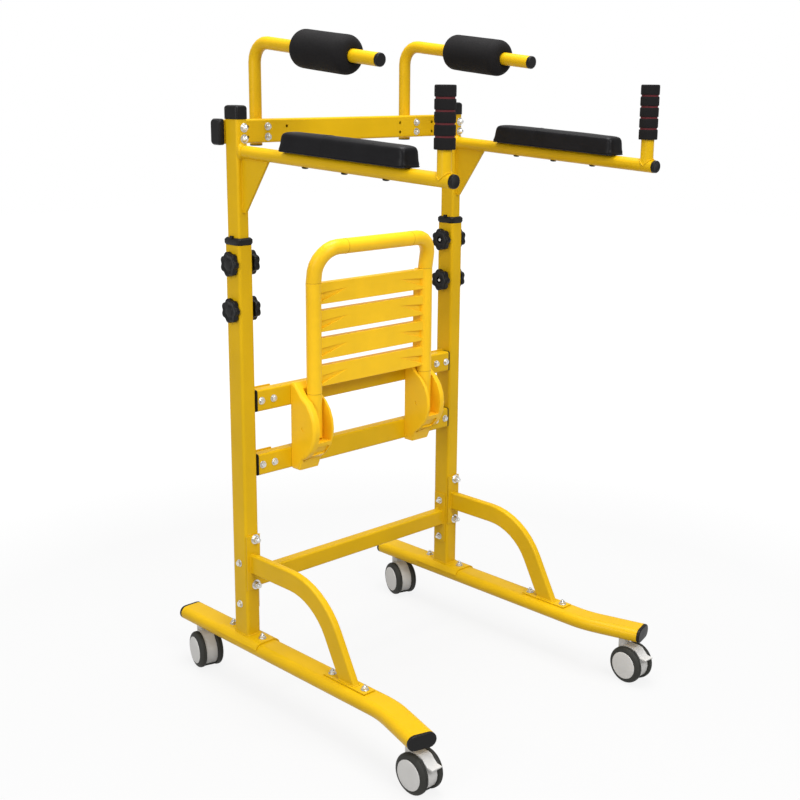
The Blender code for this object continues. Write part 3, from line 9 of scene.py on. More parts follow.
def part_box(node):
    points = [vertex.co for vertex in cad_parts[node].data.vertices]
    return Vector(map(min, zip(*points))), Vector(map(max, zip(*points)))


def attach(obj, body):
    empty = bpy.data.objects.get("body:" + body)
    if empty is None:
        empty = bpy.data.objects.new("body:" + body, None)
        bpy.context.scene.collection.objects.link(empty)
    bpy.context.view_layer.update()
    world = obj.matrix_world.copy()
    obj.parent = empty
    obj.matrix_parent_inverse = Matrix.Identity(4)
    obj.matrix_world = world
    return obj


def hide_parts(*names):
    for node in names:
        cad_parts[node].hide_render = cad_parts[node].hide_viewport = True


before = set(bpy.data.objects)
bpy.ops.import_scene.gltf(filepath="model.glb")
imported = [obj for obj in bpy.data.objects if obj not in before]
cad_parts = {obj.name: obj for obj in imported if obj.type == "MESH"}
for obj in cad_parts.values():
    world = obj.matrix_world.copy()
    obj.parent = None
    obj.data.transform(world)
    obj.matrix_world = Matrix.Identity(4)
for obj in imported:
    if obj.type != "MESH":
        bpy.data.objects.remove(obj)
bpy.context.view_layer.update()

# Places and sizes that several pieces share. Y0 is the uprights' centre plane.
SIDES = (("left", 1), ("right", -1))
CORNERS = [(f"{end}_{side}", sign) for side, sign in SIDES for end in ("front", "rear")]
low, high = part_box("lower_upright_left")
Y0 = (low.y + high.y) / 2
COLUMN_X = 0.300
COLUMN_FACE = 0.017
COLUMN_FRONT = 0.0193
UNDERARM_X = 0.2072
RAIL_HEIGHTS = (0.6303, 0.4950)
SADDLE_TOP = 0.1271
WELD_Z = 0.1274
BRACE_FLANGE_FRONT = -0.0263
CROSS_PLATE_FACE = COLUMN_X - 0.0198
ARM_Z = 1.1288
ARM_RADIUS = 0.0125
ARM_DROOP = math.radians(2.49)
ARM_TOE = math.radians(1.79)
POST_Y = -0.5421
X_AXIS = Vector((1, 0, 0))
Y_AXIS = Vector((0, 1, 0))
Z_AXIS = Vector((0, 0, 1))


# Materials

def node_tree(name):
    material = bpy.data.materials.new(name)
    material.use_nodes = True
    tree = material.node_tree
    return material, tree, tree.nodes["Principled BSDF"]


def add_node(tree, kind, **values):
    node = tree.nodes.new(kind)
    for key, value in values.items():
        setattr(node, key, value)
    return node


def mapped(tree, kind, scale, stretch=None):
    """A texture node in the object's own metres."""
    place = add_node(tree, "ShaderNodeTexCoord")
    node = add_node(tree, kind)
    node.inputs["Scale"].default_value = scale
    source = place.outputs["Object"]
    if stretch:
        mapping = add_node(tree, "ShaderNodeMapping")
        mapping.inputs["Scale"].default_value = stretch
        tree.links.new(source, mapping.inputs["Vector"])
        source = mapping.outputs["Vector"]
    tree.links.new(source, node.inputs["Vector"])
    return node


def clouds(tree, scale, detail=2.0, roughness=0.5, stretch=None):
    node = mapped(tree, "ShaderNodeTexNoise", scale, stretch)
    node.inputs["Detail"].default_value = detail
    node.inputs["Roughness"].default_value = roughness
    return node.outputs["Fac"]


def cells(tree, scale, edges=False):
    node = mapped(tree, "ShaderNodeTexVoronoi", scale)
    if edges:
        node.feature = "DISTANCE_TO_EDGE"
    return node.outputs["Distance"]


def shade(colour, factor):
    return tuple(min(1.0, c * factor) for c in colour)


def tint(tree, source, colour, *stops):
    """The colour made darker or lighter along a texture; each stop is (place, factor)."""
    node = add_node(tree, "ShaderNodeValToRGB")
    elements = node.color_ramp.elements
    while len(elements) < len(stops):
        elements.new(0.5)
    for element, (at, factor) in zip(elements, stops):
        element.position = at
        element.color = (*shade(colour, factor), 1.0)
    tree.links.new(source, node.inputs["Fac"])
    return node.outputs["Color"]


def remap(tree, source, *limits):
    """Maps a value from one range to another: low, high, new low, new high."""
    node = add_node(tree, "ShaderNodeMapRange")
    for name, value in zip(("From Min", "From Max", "To Min", "To Max"), limits):
        node.inputs[name].default_value = value
    tree.links.new(source, node.inputs["Value"])
    return node.outputs["Result"]


def mix_colour(tree, factor, first, second):
    node = add_node(tree, "ShaderNodeMix", data_type="RGBA")
    tree.links.new(factor, node.inputs[0])
    tree.links.new(first, node.inputs[6])
    node.inputs[7].default_value = (*second, 1.0)
    return node.outputs[2]


def finish(tree, shader, colour, gloss, shine, *layers):
    """Links colour and gloss, sets the specular level and chains bumps of (height, strength, distance)."""
    tree.links.new(colour, shader.inputs["Base Color"])
    tree.links.new(gloss, shader.inputs["Roughness"])
    shader.inputs["Specular IOR Level"].default_value = shine
    normal = None
    for height, strength, distance in layers:
        node = add_node(tree, "ShaderNodeBump")
        node.inputs["Strength"].default_value = strength
        node.inputs["Distance"].default_value = distance
        tree.links.new(height, node.inputs["Height"])
        if normal:
            tree.links.new(normal, node.inputs["Normal"])
        normal = node.outputs["Normal"]
    tree.links.new(normal, shader.inputs["Normal"])


def painted_metal(name, colour, chip):
    """Powder coat: orange peel, faint clouding, a colour slightly darker towards the bottom, and scuffs that
    show a lighter coat.
    """
    material, tree, shader = node_tree(name)
    base = tint(tree, clouds(tree, 9.0, 3.0), colour, (0.30, 0.93), (0.70, 1.05))
    scuff = clouds(tree, 38.0, 8.0, 0.72)
    scuffed = mix_colour(tree, remap(tree, scuff, 0.70, 0.76, 0.0, 0.55), base, chip)
    place = add_node(tree, "ShaderNodeTexCoord")
    split = add_node(tree, "ShaderNodeSeparateXYZ")
    tree.links.new(place.outputs["Object"], split.inputs[0])
    # the coat is mixed darker towards the bottom, below 0.45 m
    low_down = remap(tree, split.outputs["Z"], 0.10, 0.45, 0.16, 0.0)
    darker_low_down = mix_colour(tree, low_down, scuffed, shade(colour, 0.72))
    gloss = remap(tree, scuff, 0.30, 0.75, 0.30, 0.46)
    peel, grit = clouds(tree, 420.0), clouds(tree, 1500.0)
    finish(tree, shader, darker_low_down, gloss, 0.16, (peel, 0.22, 0.0006), (grit, 0.10, 0.0002))
    return material


def moulded_plastic(name, colour, roughness, grain, strength, variation):
    """Moulded plastic: a fine spark-eroded grain, slight clouding and hairline scratches."""
    material, tree, shader = node_tree(name)
    cloud = clouds(tree, 22.0, 4.0)
    base = tint(tree, cloud, colour, (0.30, 1 - variation), (0.70, 1 + variation))
    lines = clouds(tree, 60.0, 6.0, 0.75, stretch=(1.0, 1.0, 14.0))
    rubbed = mix_colour(tree, remap(tree, lines, 0.66, 0.74, 0.0, 0.25), base, shade(colour, 1.25))
    gloss = remap(tree, cloud, 0.25, 0.75, roughness - 0.06, roughness + 0.08)
    fine, soft = cells(tree, grain), clouds(tree, grain / 6)
    finish(tree, shader, rubbed, gloss, 0.22, (fine, strength, 0.0002), (soft, 0.12, 0.0003))
    return material


def foam_skin(name, colour):
    """Closed-cell foam: a matt skin full of fine pores, with painted shade that darkens the pores."""
    material, tree, shader = node_tree(name)
    pores, cloud = cells(tree, 780.0), clouds(tree, 30.0, 5.0)
    base = tint(tree, cloud, colour, (0.30, 0.80), (0.72, 1.35))
    # painted shade: the colour is mixed darker in the pores
    pore_shaded = mix_colour(tree, remap(tree, pores, 0.05, 0.35, 0.55, 0.0), base, shade(colour, 0.45))
    gloss = remap(tree, cloud, 0.3, 0.7, 0.72, 0.90)
    finish(tree, shader, pore_shaded, gloss, 0.16, (pores, 0.45, 0.0006), (cloud, 0.20, 0.0012))
    return material


def vinyl(name, colour):
    """Soft vinyl cover: leather-like cells with painted shade in the creases along their edges, a low sheen
    and rubbed high spots.
    """
    material, tree, shader = node_tree(name)
    edges, wrinkle = cells(tree, 520.0, edges=True), clouds(tree, 26.0, 5.0, 0.6)
    base = tint(tree, wrinkle, colour, (0.30, 0.82), (0.72, 1.35))
    # painted shade: the colour is mixed darker along the cells' edges, as shade in the creases
    crease_shaded = mix_colour(tree, remap(tree, edges, 0.0, 0.08, 0.5, 0.0), base, shade(colour, 0.5))
    gloss = remap(tree, wrinkle, 0.3, 0.7, 0.36, 0.52)
    finish(tree, shader, crease_shaded, gloss, 0.18, (edges, 0.30, 0.0005), (wrinkle, 0.25, 0.0020))
    return material


def rubber(name, colour):
    """Tyre rubber: matt, dusty on the tread, with a fine moulded grain."""
    material, tree, shader = node_tree(name)
    dust = clouds(tree, 55.0, 7.0, 0.7)
    base = tint(tree, dust, colour, (0.34, 0.80), (0.58, 1.15), (0.74, 2.0))
    gloss = remap(tree, dust, 0.3, 0.7, 0.55, 0.78)
    grain = clouds(tree, 1300.0, 3.0)
    finish(tree, shader, base, gloss, 0.30, (grain, 0.30, 0.0003), (dust, 0.15, 0.0006))
    return material


def plated_steel(name, colour):
    """Zinc-plated steel: bright, with a faint spangle and fine turning marks."""
    material, tree, shader = node_tree(name)
    grime = clouds(tree, 150.0, 5.0, 0.65)
    base = tint(tree, cells(tree, 420.0), colour, (0.1, 0.90), (0.6, 1.08))
    dulled = mix_colour(tree, remap(tree, grime, 0.55, 0.80, 0.0, 0.6), base, shade(colour, 0.45))
    shader.inputs["Metallic"].default_value = 1.0
    gloss = remap(tree, grime, 0.3, 0.8, 0.24, 0.48)
    finish(tree, shader, dulled, gloss, 0.5, (clouds(tree, 1100.0), 0.15, 0.0002))
    return material


MATERIALS = {
    "yellow_paint": painted_metal("yellow_paint_coat", (0.71, 0.425, 0.004), (0.80, 0.58, 0.16)),
    "yellow_plastic": moulded_plastic("yellow_moulding", (0.93, 0.555, 0.012), 0.36, 700.0, 0.10, 0.04),
    "black_plastic": moulded_plastic("black_moulding", (0.0048, 0.0044, 0.0046), 0.40, 800.0, 0.25, 0.20),
    "black_foam": foam_skin("foam_skin", (0.0085, 0.0078, 0.0082)),
    "black_vinyl": vinyl("vinyl_cover", (0.0040, 0.0037, 0.0046)),
    "tyre_rubber": rubber("tyre_tread", (0.026, 0.026, 0.022)),
    "grey_plastic": moulded_plastic("grey_moulding", (0.60, 0.59, 0.57), 0.42, 800.0, 0.15, 0.05),
    "zinc": plated_steel("zinc_plate", (0.66, 0.66, 0.64)),
    "maroon": moulded_plastic("groove_tint", (0.110, 0.016, 0.020), 0.60, 800.0, 0.20, 0.15),
    # the seam colour is a darker yellow that paints the shade in the joint grooves of the seat's tube
    "seam": moulded_plastic("seam_shadow", (0.52, 0.27, 0.006), 0.50, 800.0, 0.15, 0.10),
}


# Mesh helpers

def new_object(name, bm):
    """A linked object from a bmesh, which is freed."""
    mesh = bpy.data.meshes.new(name)
    bm.to_mesh(mesh)
    bm.free()
    obj = bpy.data.objects.new(name, mesh)
    bpy.context.scene.collection.objects.link(obj)
    return obj


def make_object(name, bm, material, body, angle=35.0):
    bmesh.ops.recalc_face_normals(bm, faces=bm.faces)
    obj = new_object(name, bm)
    obj.data.materials.append(MATERIALS[material])
    obj.data.shade_smooth()
    obj.data.set_sharp_from_angle(angle=math.radians(angle))
    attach(obj, body)
    return obj


def add_rings(bm, rings, closed=False, start_cap=True):
    """Skins matching rings of points; a ring of one point closes the skin to a tip."""
    rows = [[bm.verts.new(point) for point in points] for points in rings]
    pairs = list(zip(rows, rows[1:]))
    if closed:
        pairs.append((rows[-1], rows[0]))
    for first, second in pairs:
        count = max(len(first), len(second))
        for i in range(count):
            j = (i + 1) % count
            if len(first) == 1:
                bm.faces.new((first[0], second[j], second[i]))
            elif len(second) == 1:
                bm.faces.new((first[i], first[j], second[0]))
            else:
                bm.faces.new((first[i], first[j], second[j], second[i]))
    if not closed:
        if start_cap and len(rows[0]) > 1:
            bm.faces.new(list(reversed(rows[0])))
        if len(rows[-1]) > 1:
            bm.faces.new(rows[-1])


def cross_axes(direction):
    helper = Z_AXIS if abs(direction.z) < 0.9 else Y_AXIS
    across = helper.cross(direction).normalized()
    return across, direction.cross(across).normalized()


def turn_rings(profile, start, direction, count=32, reach=None):
    """Rings of a turned shape of (distance along, radius); reach can change the radius by angle."""
    across, along = cross_axes(direction)
    rings = []
    for at, radius in profile:
        if radius < 1e-7:
            rings.append([start + direction * at])
            continue
        points = []
        for step in range(count):
            angle = 2 * math.pi * step / count
            r = reach(angle, radius, at) if reach else radius
            points.append(start + direction * at + across * r * math.cos(angle) + along * r * math.sin(angle))
        rings.append(points)
    return rings


def add_turned(bm, profile, start, direction, count=32, reach=None, **ends):
    add_rings(bm, turn_rings(profile, start, direction, count, reach), **ends)


def quarter(steps):
    """(sine, 1 - cosine) pairs over a quarter turn, for rounded edges."""
    angles = [math.pi / 2 * step / steps for step in range(steps + 1)]
    return [(math.sin(angle), 1 - math.cos(angle)) for angle in angles]


def circle(centre, across, along, count):
    """Points round a centre; across and along are the half axes."""
    angles = [2 * math.pi * step / count for step in range(count)]
    return [centre + across * math.cos(angle) + along * math.sin(angle) for angle in angles]


def rounded_rectangle(width, height, radius, steps=5):
    points = []
    for sx, sy, start in ((1, 1, 0), (-1, 1, 90), (-1, -1, 180), (1, -1, 270)):
        for step in range(steps + 1):
            angle = math.radians(start + 90 * step / steps)
            across = sx * (width / 2 - radius) + radius * math.cos(angle)
            points.append((across, sy * (height / 2 - radius) + radius * math.sin(angle)))
    return points


def place_outline(outline, centre, across, along):
    return [centre + across * a + along * b for a, b in outline]


# Carried-over CAD nodes: welded, softened along their edges and given their finish

def dress(node, material, width):
    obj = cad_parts[node]
    mesh = obj.data
    normals = mesh.attributes.get("custom_normal")
    if normals:
        mesh.attributes.remove(normals)
    mesh.shade_smooth()
    mesh.materials.clear()
    mesh.materials.append(MATERIALS[material])
    weld = obj.modifiers.new("weld", "WELD")
    weld.merge_threshold = 0.00001
    flat = obj.modifiers.new("flat_faces", "DECIMATE")
    flat.decimate_type = "DISSOLVE"
    flat.angle_limit = math.radians(0.4)
    soften = obj.modifiers.new("soft_edges", "BEVEL")
    soften.width = width
    soften.segments = 2
    soften.limit_method = "ANGLE"
    soften.angle_limit = math.radians(32)
    soften.miter_outer = "MITER_ARC"
    weighted = obj.modifiers.new("shading", "WEIGHTED_NORMAL")
    weighted.keep_sharp = False
    weighted.weight = 50


for side, _ in SIDES:
    for stem in ("base_leg", "lower_upright", "brace", "upper_column", "shoulder_tube"):
        dress(f"{stem}_{side}", "yellow_paint", 0.0005)
    for stem in ("seat_bracket", "seat_hinge_arm"):
        dress(f"{stem}_{side}", "yellow_plastic", 0.0008)
    for stem in ("height_collar", "column_cap", "top_bar_cap", "shoulder_plug"):
        dress(f"{stem}_{side}", "black_plastic", 0.0007)
    for end in ("front", "rear"):
        dress(f"leg_plug_{end}_{side}", "black_plastic", 0.0007)
for node in ("lower_cross_bar", "upper_rail", "lower_rail", "top_bar"):
    dress(node, "yellow_paint", 0.0005)
dress("seat_bow", "yellow_plastic", 0.0006)
for corner, _ in CORNERS:
    dress(f"caster_housing_{corner}", "grey_plastic", 0.0022)
    if corner.startswith("front"):
        dress(f"brake_pedal_{corner}", "grey_plastic", 0.0010)


# Fasteners

FRONT = (0, -1, 0)
BACK = (0, 1, 0)
UP = (0, 0, 1)
SMALL = dict(flats=0.0085, washer=0.0066)
MIDDLE = dict(flats=0.0105, washer=0.0078)
LARGE = dict(flats=0.0130, washer=0.0105)
WASHER_THICKNESS = 0.0013
THREAD_PITCH = 0.0008
SEEN_SHIFT = 0.0045  # the bar's and the braces' fasteners sit beside the upright's middle


def hex_reach(flats):
    def reach(angle, radius, _):
        turned = (angle + math.pi / 6) % (math.pi / 3) - math.pi / 6
        return min(radius, flats / 2 / math.cos(turned))
    return reach


def add_washer(bm, at, out, radius):
    edge = 0.0003
    profile = ((0, radius - edge), (edge, radius), (WASHER_THICKNESS - edge, radius))
    add_turned(bm, (*profile, (WASHER_THICKNESS, radius - edge)), at, out, 36)


def add_hex(bm, at, out, flats, height, spin):
    """A hexagon with a chamfered top."""
    corner = flats / 2 / math.cos(math.pi / 6)
    cone = (corner - flats / 2) * 0.60
    rings = turn_rings([(0, corner * 2), (height - cone, corner * 2)], at, out, 48, hex_reach(flats))
    rings += turn_rings([(height, flats / 2 * 0.96)], at, out, 48)
    turn = Matrix.Rotation(spin, 3, out)
    add_rings(bm, [[at + turn @ (point - at) for point in points] for points in rings])


def add_bolt(bm, at, out, spin, flats, height, washer):
    """A washer and a hexagon head with a shallow recess ring."""
    add_washer(bm, at, out, washer)
    add_hex(bm, at + out * WASHER_THICKNESS, out, flats, height, spin)
    top = at + out * (WASHER_THICKNESS + height)
    profile = ((-0.0004, flats * 0.34), (0.0002, flats * 0.34), (0.0004, flats * 0.30), (0.0004, 0))
    add_turned(bm, profile, top, out, 24, start_cap=False)


def add_nut(bm, at, out, spin, flats=0.010, height=0.0050, washer=0.0082, stub=0.0030, radius=0.0029):
    """A washer, a nut and the end of its bolt."""
    add_washer(bm, at, out, washer)
    add_hex(bm, at + out * WASHER_THICKNESS, out, flats, height, spin)
    top = at + out * (WASHER_THICKNESS + height)
    profile = [(-0.0005, radius)]
    for step in range(int(stub / THREAD_PITCH)):
        start = step * THREAD_PITCH
        profile += [(start, radius), (start + THREAD_PITCH / 2, radius - 0.0003)]
    profile += [(stub - 0.0005, radius), (stub, radius - 0.0006)]
    add_turned(bm, profile, top, out, 24, start_cap=False)


def add_cap_nut(bm, at, out, spin, flats, height, washer):
    """A washer and a domed nut."""
    add_washer(bm, at, out, washer)
    base = at + out * WASHER_THICKNESS
    add_hex(bm, base, out, flats, height * 0.45, spin)
    dome = height * 0.60
    profile = [(height * 0.38, flats * 0.46)]
    profile += [(height - dome + dome * s, flats * 0.46 * (1 - c)) for s, c in quarter(6)]
    add_turned(bm, profile, base, out, 28, start_cap=False)


def fasteners(name, body, rows):
    """One object of several fasteners, each (maker, place, direction, options)."""
    bm = bmesh.new()
    for number, (maker, at, out, options) in enumerate(rows):
        maker(bm, Vector(at), Vector(out), 0.37 * number + 0.2, **options)
    make_object(name, bm, "zinc", body)


for side, sign in SIDES:
    x = sign * COLUMN_X
    rows = []
    for z in (1.1728, 1.1520):
        cap = dict(flats=0.0120, height=0.0090, washer=0.0086)
        rows.append((add_cap_nut, (x + SEEN_SHIFT, Y0 - COLUMN_FRONT, z), FRONT, cap))
        rows.append((add_nut, (x, Y0 + 0.0446, z), BACK, {}))
    fasteners(f"bar_bolts_{side}", "upper_frame", rows)
    rows = []
    for z in (1.1723, 1.1523):
        at = sign * UNDERARM_X
        rows.append((add_nut, (at, Y0 + 0.0196, z), FRONT, dict(height=0.0045, stub=0.0016, **MIDDLE)))
        rows.append((add_nut, (at, Y0 + 0.0697, z), BACK, SMALL))
    fasteners(f"underarm_bolts_{side}", "upper_frame", rows)
    rows = []
    for z in RAIL_HEIGHTS:
        for at in (sign * 0.269, sign * 0.238):
            rows.append((add_bolt, (at, Y0 - 0.0230, z), FRONT, dict(height=0.0040, **MIDDLE)))
            rows.append((add_nut, (at, Y0 + 0.0063, z), BACK, SMALL))
    fasteners(f"rail_bolts_{side}", "base", rows)
    rows = []
    for z in (0.285, 0.194):
        outer = sign * (COLUMN_X + COLUMN_FACE)
        rows.append((add_bolt, (outer, Y0, z), (sign, 0, 0), dict(height=0.0045, **MIDDLE)))
        rows.append((add_nut, (sign * CROSS_PLATE_FACE, Y0, z), (-sign, 0, 0), dict(stub=0.0045)))
    fasteners(f"cross_bar_bolts_{side}", "base", rows)
    rows = []
    for z in (0.3396, 0.2395):
        at = (x + SEEN_SHIFT, Y0 + BRACE_FLANGE_FRONT, z)
        rows.append((add_nut, at, FRONT, dict(height=0.0080, stub=0.0060, radius=0.0039, **LARGE)))
        rows.append((add_nut, (x, Y0 + 0.0230, z), BACK, dict(flats=0.0110)))
    for y in (-0.273, -0.3675):
        rows.append((add_nut, (x, Y0 + y, SADDLE_TOP), UP, dict(flats=0.0110, stub=0.0040)))
    fasteners(f"brace_bolts_{side}", "base", rows)
    rows = []
    for y in (0.050, -0.050):
        rows.append((add_nut, (x, Y0 + y, SADDLE_TOP), UP, dict(flats=0.0110, stub=0.0050)))
    fasteners(f"saddle_bolts_{side}", "base", rows)


# Weld beads

GUSSET_FOOT = 1.0120
GUSSET_REACH = 0.1005
BRACE_Z = 0.2868
BRACE_FOOT_Y = -0.3221
BRACE_DEPTH = 0.042 / math.sin(math.radians(61.4)) + 0.0006


def bead(bm, points, radius, closed=False):
    """A rippled bead along a path of points."""
    ripple = 0.0024
    dense = []
    pairs = list(zip(points, points[1:]))
    if closed:
        pairs.append((points[-1], points[0]))
    for first, second in pairs:
        steps = max(1, round((second - first).length / (ripple / 3)))
        for step in range(steps):
            dense.append(first.lerp(second, step / steps))
    if not closed:
        dense.append(points[-1])
    rings = []
    travelled = 0.0
    count = len(dense)
    for i, point in enumerate(dense):
        before = dense[i - 1] if (i or closed) else point
        after = dense[(i + 1) % count] if (closed or i + 1 < count) else point
        if i:
            travelled += (point - dense[i - 1]).length
        across, along = cross_axes((after - before).normalized())
        wobble = 1 + 0.14 * math.sin(2 * math.pi * travelled / ripple)
        wobble += 0.10 * noise.noise(point * 300)
        if not closed and i in (0, count - 1):
            wobble *= 0.4
        rings.append(circle(point, across * radius * wobble, along * radius * wobble, 10))
    add_rings(bm, rings, closed=closed)


def framed_bead(bm, size, centre, across, along, radius=0.0015, corner=0.004):
    """A bead round a rectangular foot."""
    outline = rounded_rectangle(*size, corner)
    bead(bm, place_outline(outline, Vector(centre), across, along), radius, closed=True)


def arm_matrix(sign):
    """The frame of a forearm tube: its axis is Y, and its origin lies on the upright's centre plane."""
    place = Matrix.Translation((sign * COLUMN_X, Y0, ARM_Z))
    return place @ Matrix.Rotation(-sign * ARM_TOE, 4, "Z") @ Matrix.Rotation(ARM_DROOP, 4, "X")


def root_fillet(bm, centre):
    """The weld round the forearm tube where it meets the upright, thick above and below."""
    def reach(angle, radius, _):
        height = abs(math.sin(angle))
        ripple = 0.00018 * math.sin(angle * 26)
        return min(radius, ARM_RADIUS + 0.0006 + 0.0042 * height ** 2) + ripple

    outer = [(-0.0002, 0.0176), (0.0006, 0.0170), (0.0020, 0.0152), (0.0036, 0.0138), (0.0056, 0.0129)]
    outer += [(0.0066, 0.0124)]
    rings = turn_rings(outer, centre, -Y_AXIS, 80, reach)
    rings += turn_rings([(0.0066, 0.0110), (-0.0002, 0.0110)], centre, -Y_AXIS, 80)
    add_rings(bm, rings, closed=True)


for side, sign in SIDES:
    x = sign * COLUMN_X
    arm = arm_matrix(sign)
    bm = bmesh.new()
    root = arm @ Vector((0, -COLUMN_FRONT, 0))
    root_fillet(bm, Vector((x, Y0 - COLUMN_FRONT, root.z)))
    for way in (1, -1):
        edge = x + way * 0.0028
        upright = [Vector((edge, Y0 - 0.0196, z)) for z in (1.1130, GUSSET_FOOT + 0.003)]
        bead(bm, upright, 0.0010)
        under = []
        for step in range(8):
            y = -0.0240 - (GUSSET_REACH - 0.0260) * step / 7
            under.append(Vector((edge, Y0 + y, ARM_Z - 0.0126 + y * math.tan(ARM_DROOP))))
        bead(bm, under, 0.0011)
    post = arm @ Vector((0, POST_Y, 0))
    reach = ARM_RADIUS + 0.0004
    loop = circle(post, X_AXIS * reach, Y_AXIS * reach, 48)
    loop = [point + Z_AXIS * (abs(point.y - post.y) + 0.0004) for point in loop]
    bead(bm, loop, 0.0015, closed=True)
    make_object(f"weld_beads_upper_{side}", bm, "yellow_paint", "upper_frame")

    bm = bmesh.new()
    framed_bead(bm, (0.0346, 0.0466), (x, Y0, WELD_Z), X_AXIS, Y_AXIS, 0.0017, 0.006)
    framed_bead(bm, (0.0166, 0.0426), (x, Y0 + BRACE_FLANGE_FRONT - 0.0002, BRACE_Z), X_AXIS, Z_AXIS)
    framed_bead(bm, (0.0166, BRACE_DEPTH), (x, Y0 + BRACE_FOOT_Y, WELD_Z), X_AXIS, Y_AXIS)
    framed_bead(bm, (0.0256, 0.0366), (sign * (CROSS_PLATE_FACE - 0.0002), Y0, 0.2445), Y_AXIS, Z_AXIS)
    at = sign * (COLUMN_X - 0.0172)
    for z in RAIL_HEIGHTS:
        for y in (0.0066, 0.0020):
            bead(bm, [Vector((at, Y0 + y, z - 0.023)), Vector((at, Y0 + y, z + 0.023))], 0.0013)
    make_object(f"weld_beads_base_{side}", bm, "yellow_paint", "base")


# End plugs

def plug_head(name, start, direction, radius, thickness):
    edge = min(0.0022, thickness * 0.6)
    profile = [(0, radius - 0.0006), (0.0006, radius)]
    profile += [(thickness - edge + edge * s, radius - edge * c) for s, c in quarter(4)]
    profile += [(thickness - 0.0006, radius - edge * 1.8), (thickness - 0.0006, 0)]
    bm = bmesh.new()
    add_turned(bm, profile, start, direction, 40)
    make_object(name, bm, "black_plastic", "upper_frame")


for side, sign in SIDES:
    arm = arm_matrix(sign)
    tip = arm @ Vector((0, -0.5606, 0))
    direction = (arm.to_3x3() @ Vector((0, -1, 0))).normalized()
    plug_head(f"arm_plug_{side}", tip, direction, ARM_RADIUS - 0.0006, 0.0070)
    low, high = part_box(f"shoulder_tube_{side}")
    at = Vector((sign * UNDERARM_X, Y0 + 0.0574, low.z))
    plug_head(f"underarm_foot_{side}", at, -Z_AXIS, 0.0126, 0.0025)
    for name in ("upper_rail", "lower_rail"):
        low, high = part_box(name)
        middle = (low + high) / 2
        end = high.x if sign > 0 else low.x
        rings = []
        for at, inset in ((0.0001, 0.0008), (0.0006, 0.0), (0.0032, 0.0), (0.0038, 0.0010)):
            outline = rounded_rectangle(0.0250 - 2 * inset, 0.0450 - 2 * inset, 0.004)
            centre = Vector((end + sign * at, middle.y, middle.z))
            rings.append(place_outline(outline, centre, Y_AXIS, Z_AXIS))
        bm = bmesh.new()
        add_rings(bm, rings)
        make_object(f"{name}_plug_{side}", bm, "black_plastic", "base")


# Clamping knobs

KNOB_RADIUS = 0.0250
LOBES = 7


def knob_reach(angle, radius, _):
    wave = 0.5 - 0.5 * math.cos(LOBES * angle)
    return radius - 0.0038 * wave ** 1.3 * (radius / KNOB_RADIUS) ** 2


def knob(node, centre, out, base, top, stud):
    """A lobed knob between two distances from the upright, with a dished face and a cap or a sunk stud."""
    profile = [(0.0003, 0.0088), (base * 0.6, 0.0096), (base, 0.0105), (base, 0.0215)]
    profile += [(base + 0.0026 * c, 0.0224 + 0.0026 * s) for s, c in quarter(4)]
    profile += [(top - 0.0030 * (1 - s), KNOB_RADIUS - 0.0030 * c) for s, c in quarter(5)]
    profile += [(top - 0.0003, 0.0185), (top - 0.0012, 0.0165)]
    profile += [(top - 0.0014, 0.0125), (top - 0.0012, 0.0112)]
    if stud:
        profile += [(top - 0.0010, 0.0080), (top - 0.0050, 0.0074), (top - 0.0050, 0)]
    else:
        profile += [(top - 0.0004, 0.0104), (top - 0.0001, 0.0090), (top + 0.0001, 0.0040), (top + 0.0001, 0)]
    bm = bmesh.new()
    add_turned(bm, profile, centre, out, LOBES * 14, knob_reach)
    obj = make_object(f"star_{node}", bm, "black_plastic", node, 50)
    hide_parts(node)
    if stud:
        profile = [(top - 0.0051, 0.0034), (top - 0.0012, 0.0034), (top - 0.0007, 0.0029)]
        profile += [(top - 0.0005, 0.0022), (top - 0.0005, 0)]
        bm = bmesh.new()
        add_turned(bm, profile, centre, out)
        make_object(f"knob_stud_{node.removeprefix('knob_')}", bm, "zinc", node)


for side, sign in SIDES:
    for face, way in (("outer", sign), ("inner", -sign)):
        for level in ("upper", "lower"):
            node = f"knob_{face}_{level}_{side}"
            low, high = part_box(node)
            centre = Vector((sign * COLUMN_X + way * COLUMN_FACE, Y0, (low.z + high.z) / 2))
            base, top = (0.0008, 0.0118) if face == "outer" else (0.0048, 0.0178)
            knob(node, centre, Vector((way, 0, 0)), base, top, face == "inner")


# Casters: tyres, hub discs and the dark strip under the hood

SWIVEL_DEGREES = {"front_left": -2.4, "front_right": -1.2, "rear_left": -17.0, "rear_right": -14.0}
WHEEL_START = 0.0131


def caster_axes(corner, sign):
    """The axle's middle, from the two wheels' boxes, and the way out along it."""
    inner_low, inner_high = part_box(f"wheel_inner_{corner}")
    outer_low, outer_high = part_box(f"wheel_outer_{corner}")
    turn = math.radians(SWIVEL_DEGREES[corner])
    out = Vector((math.cos(turn), math.sin(turn), 0)) * sign
    return (inner_low + inner_high + outer_low + outer_high) / 4, out


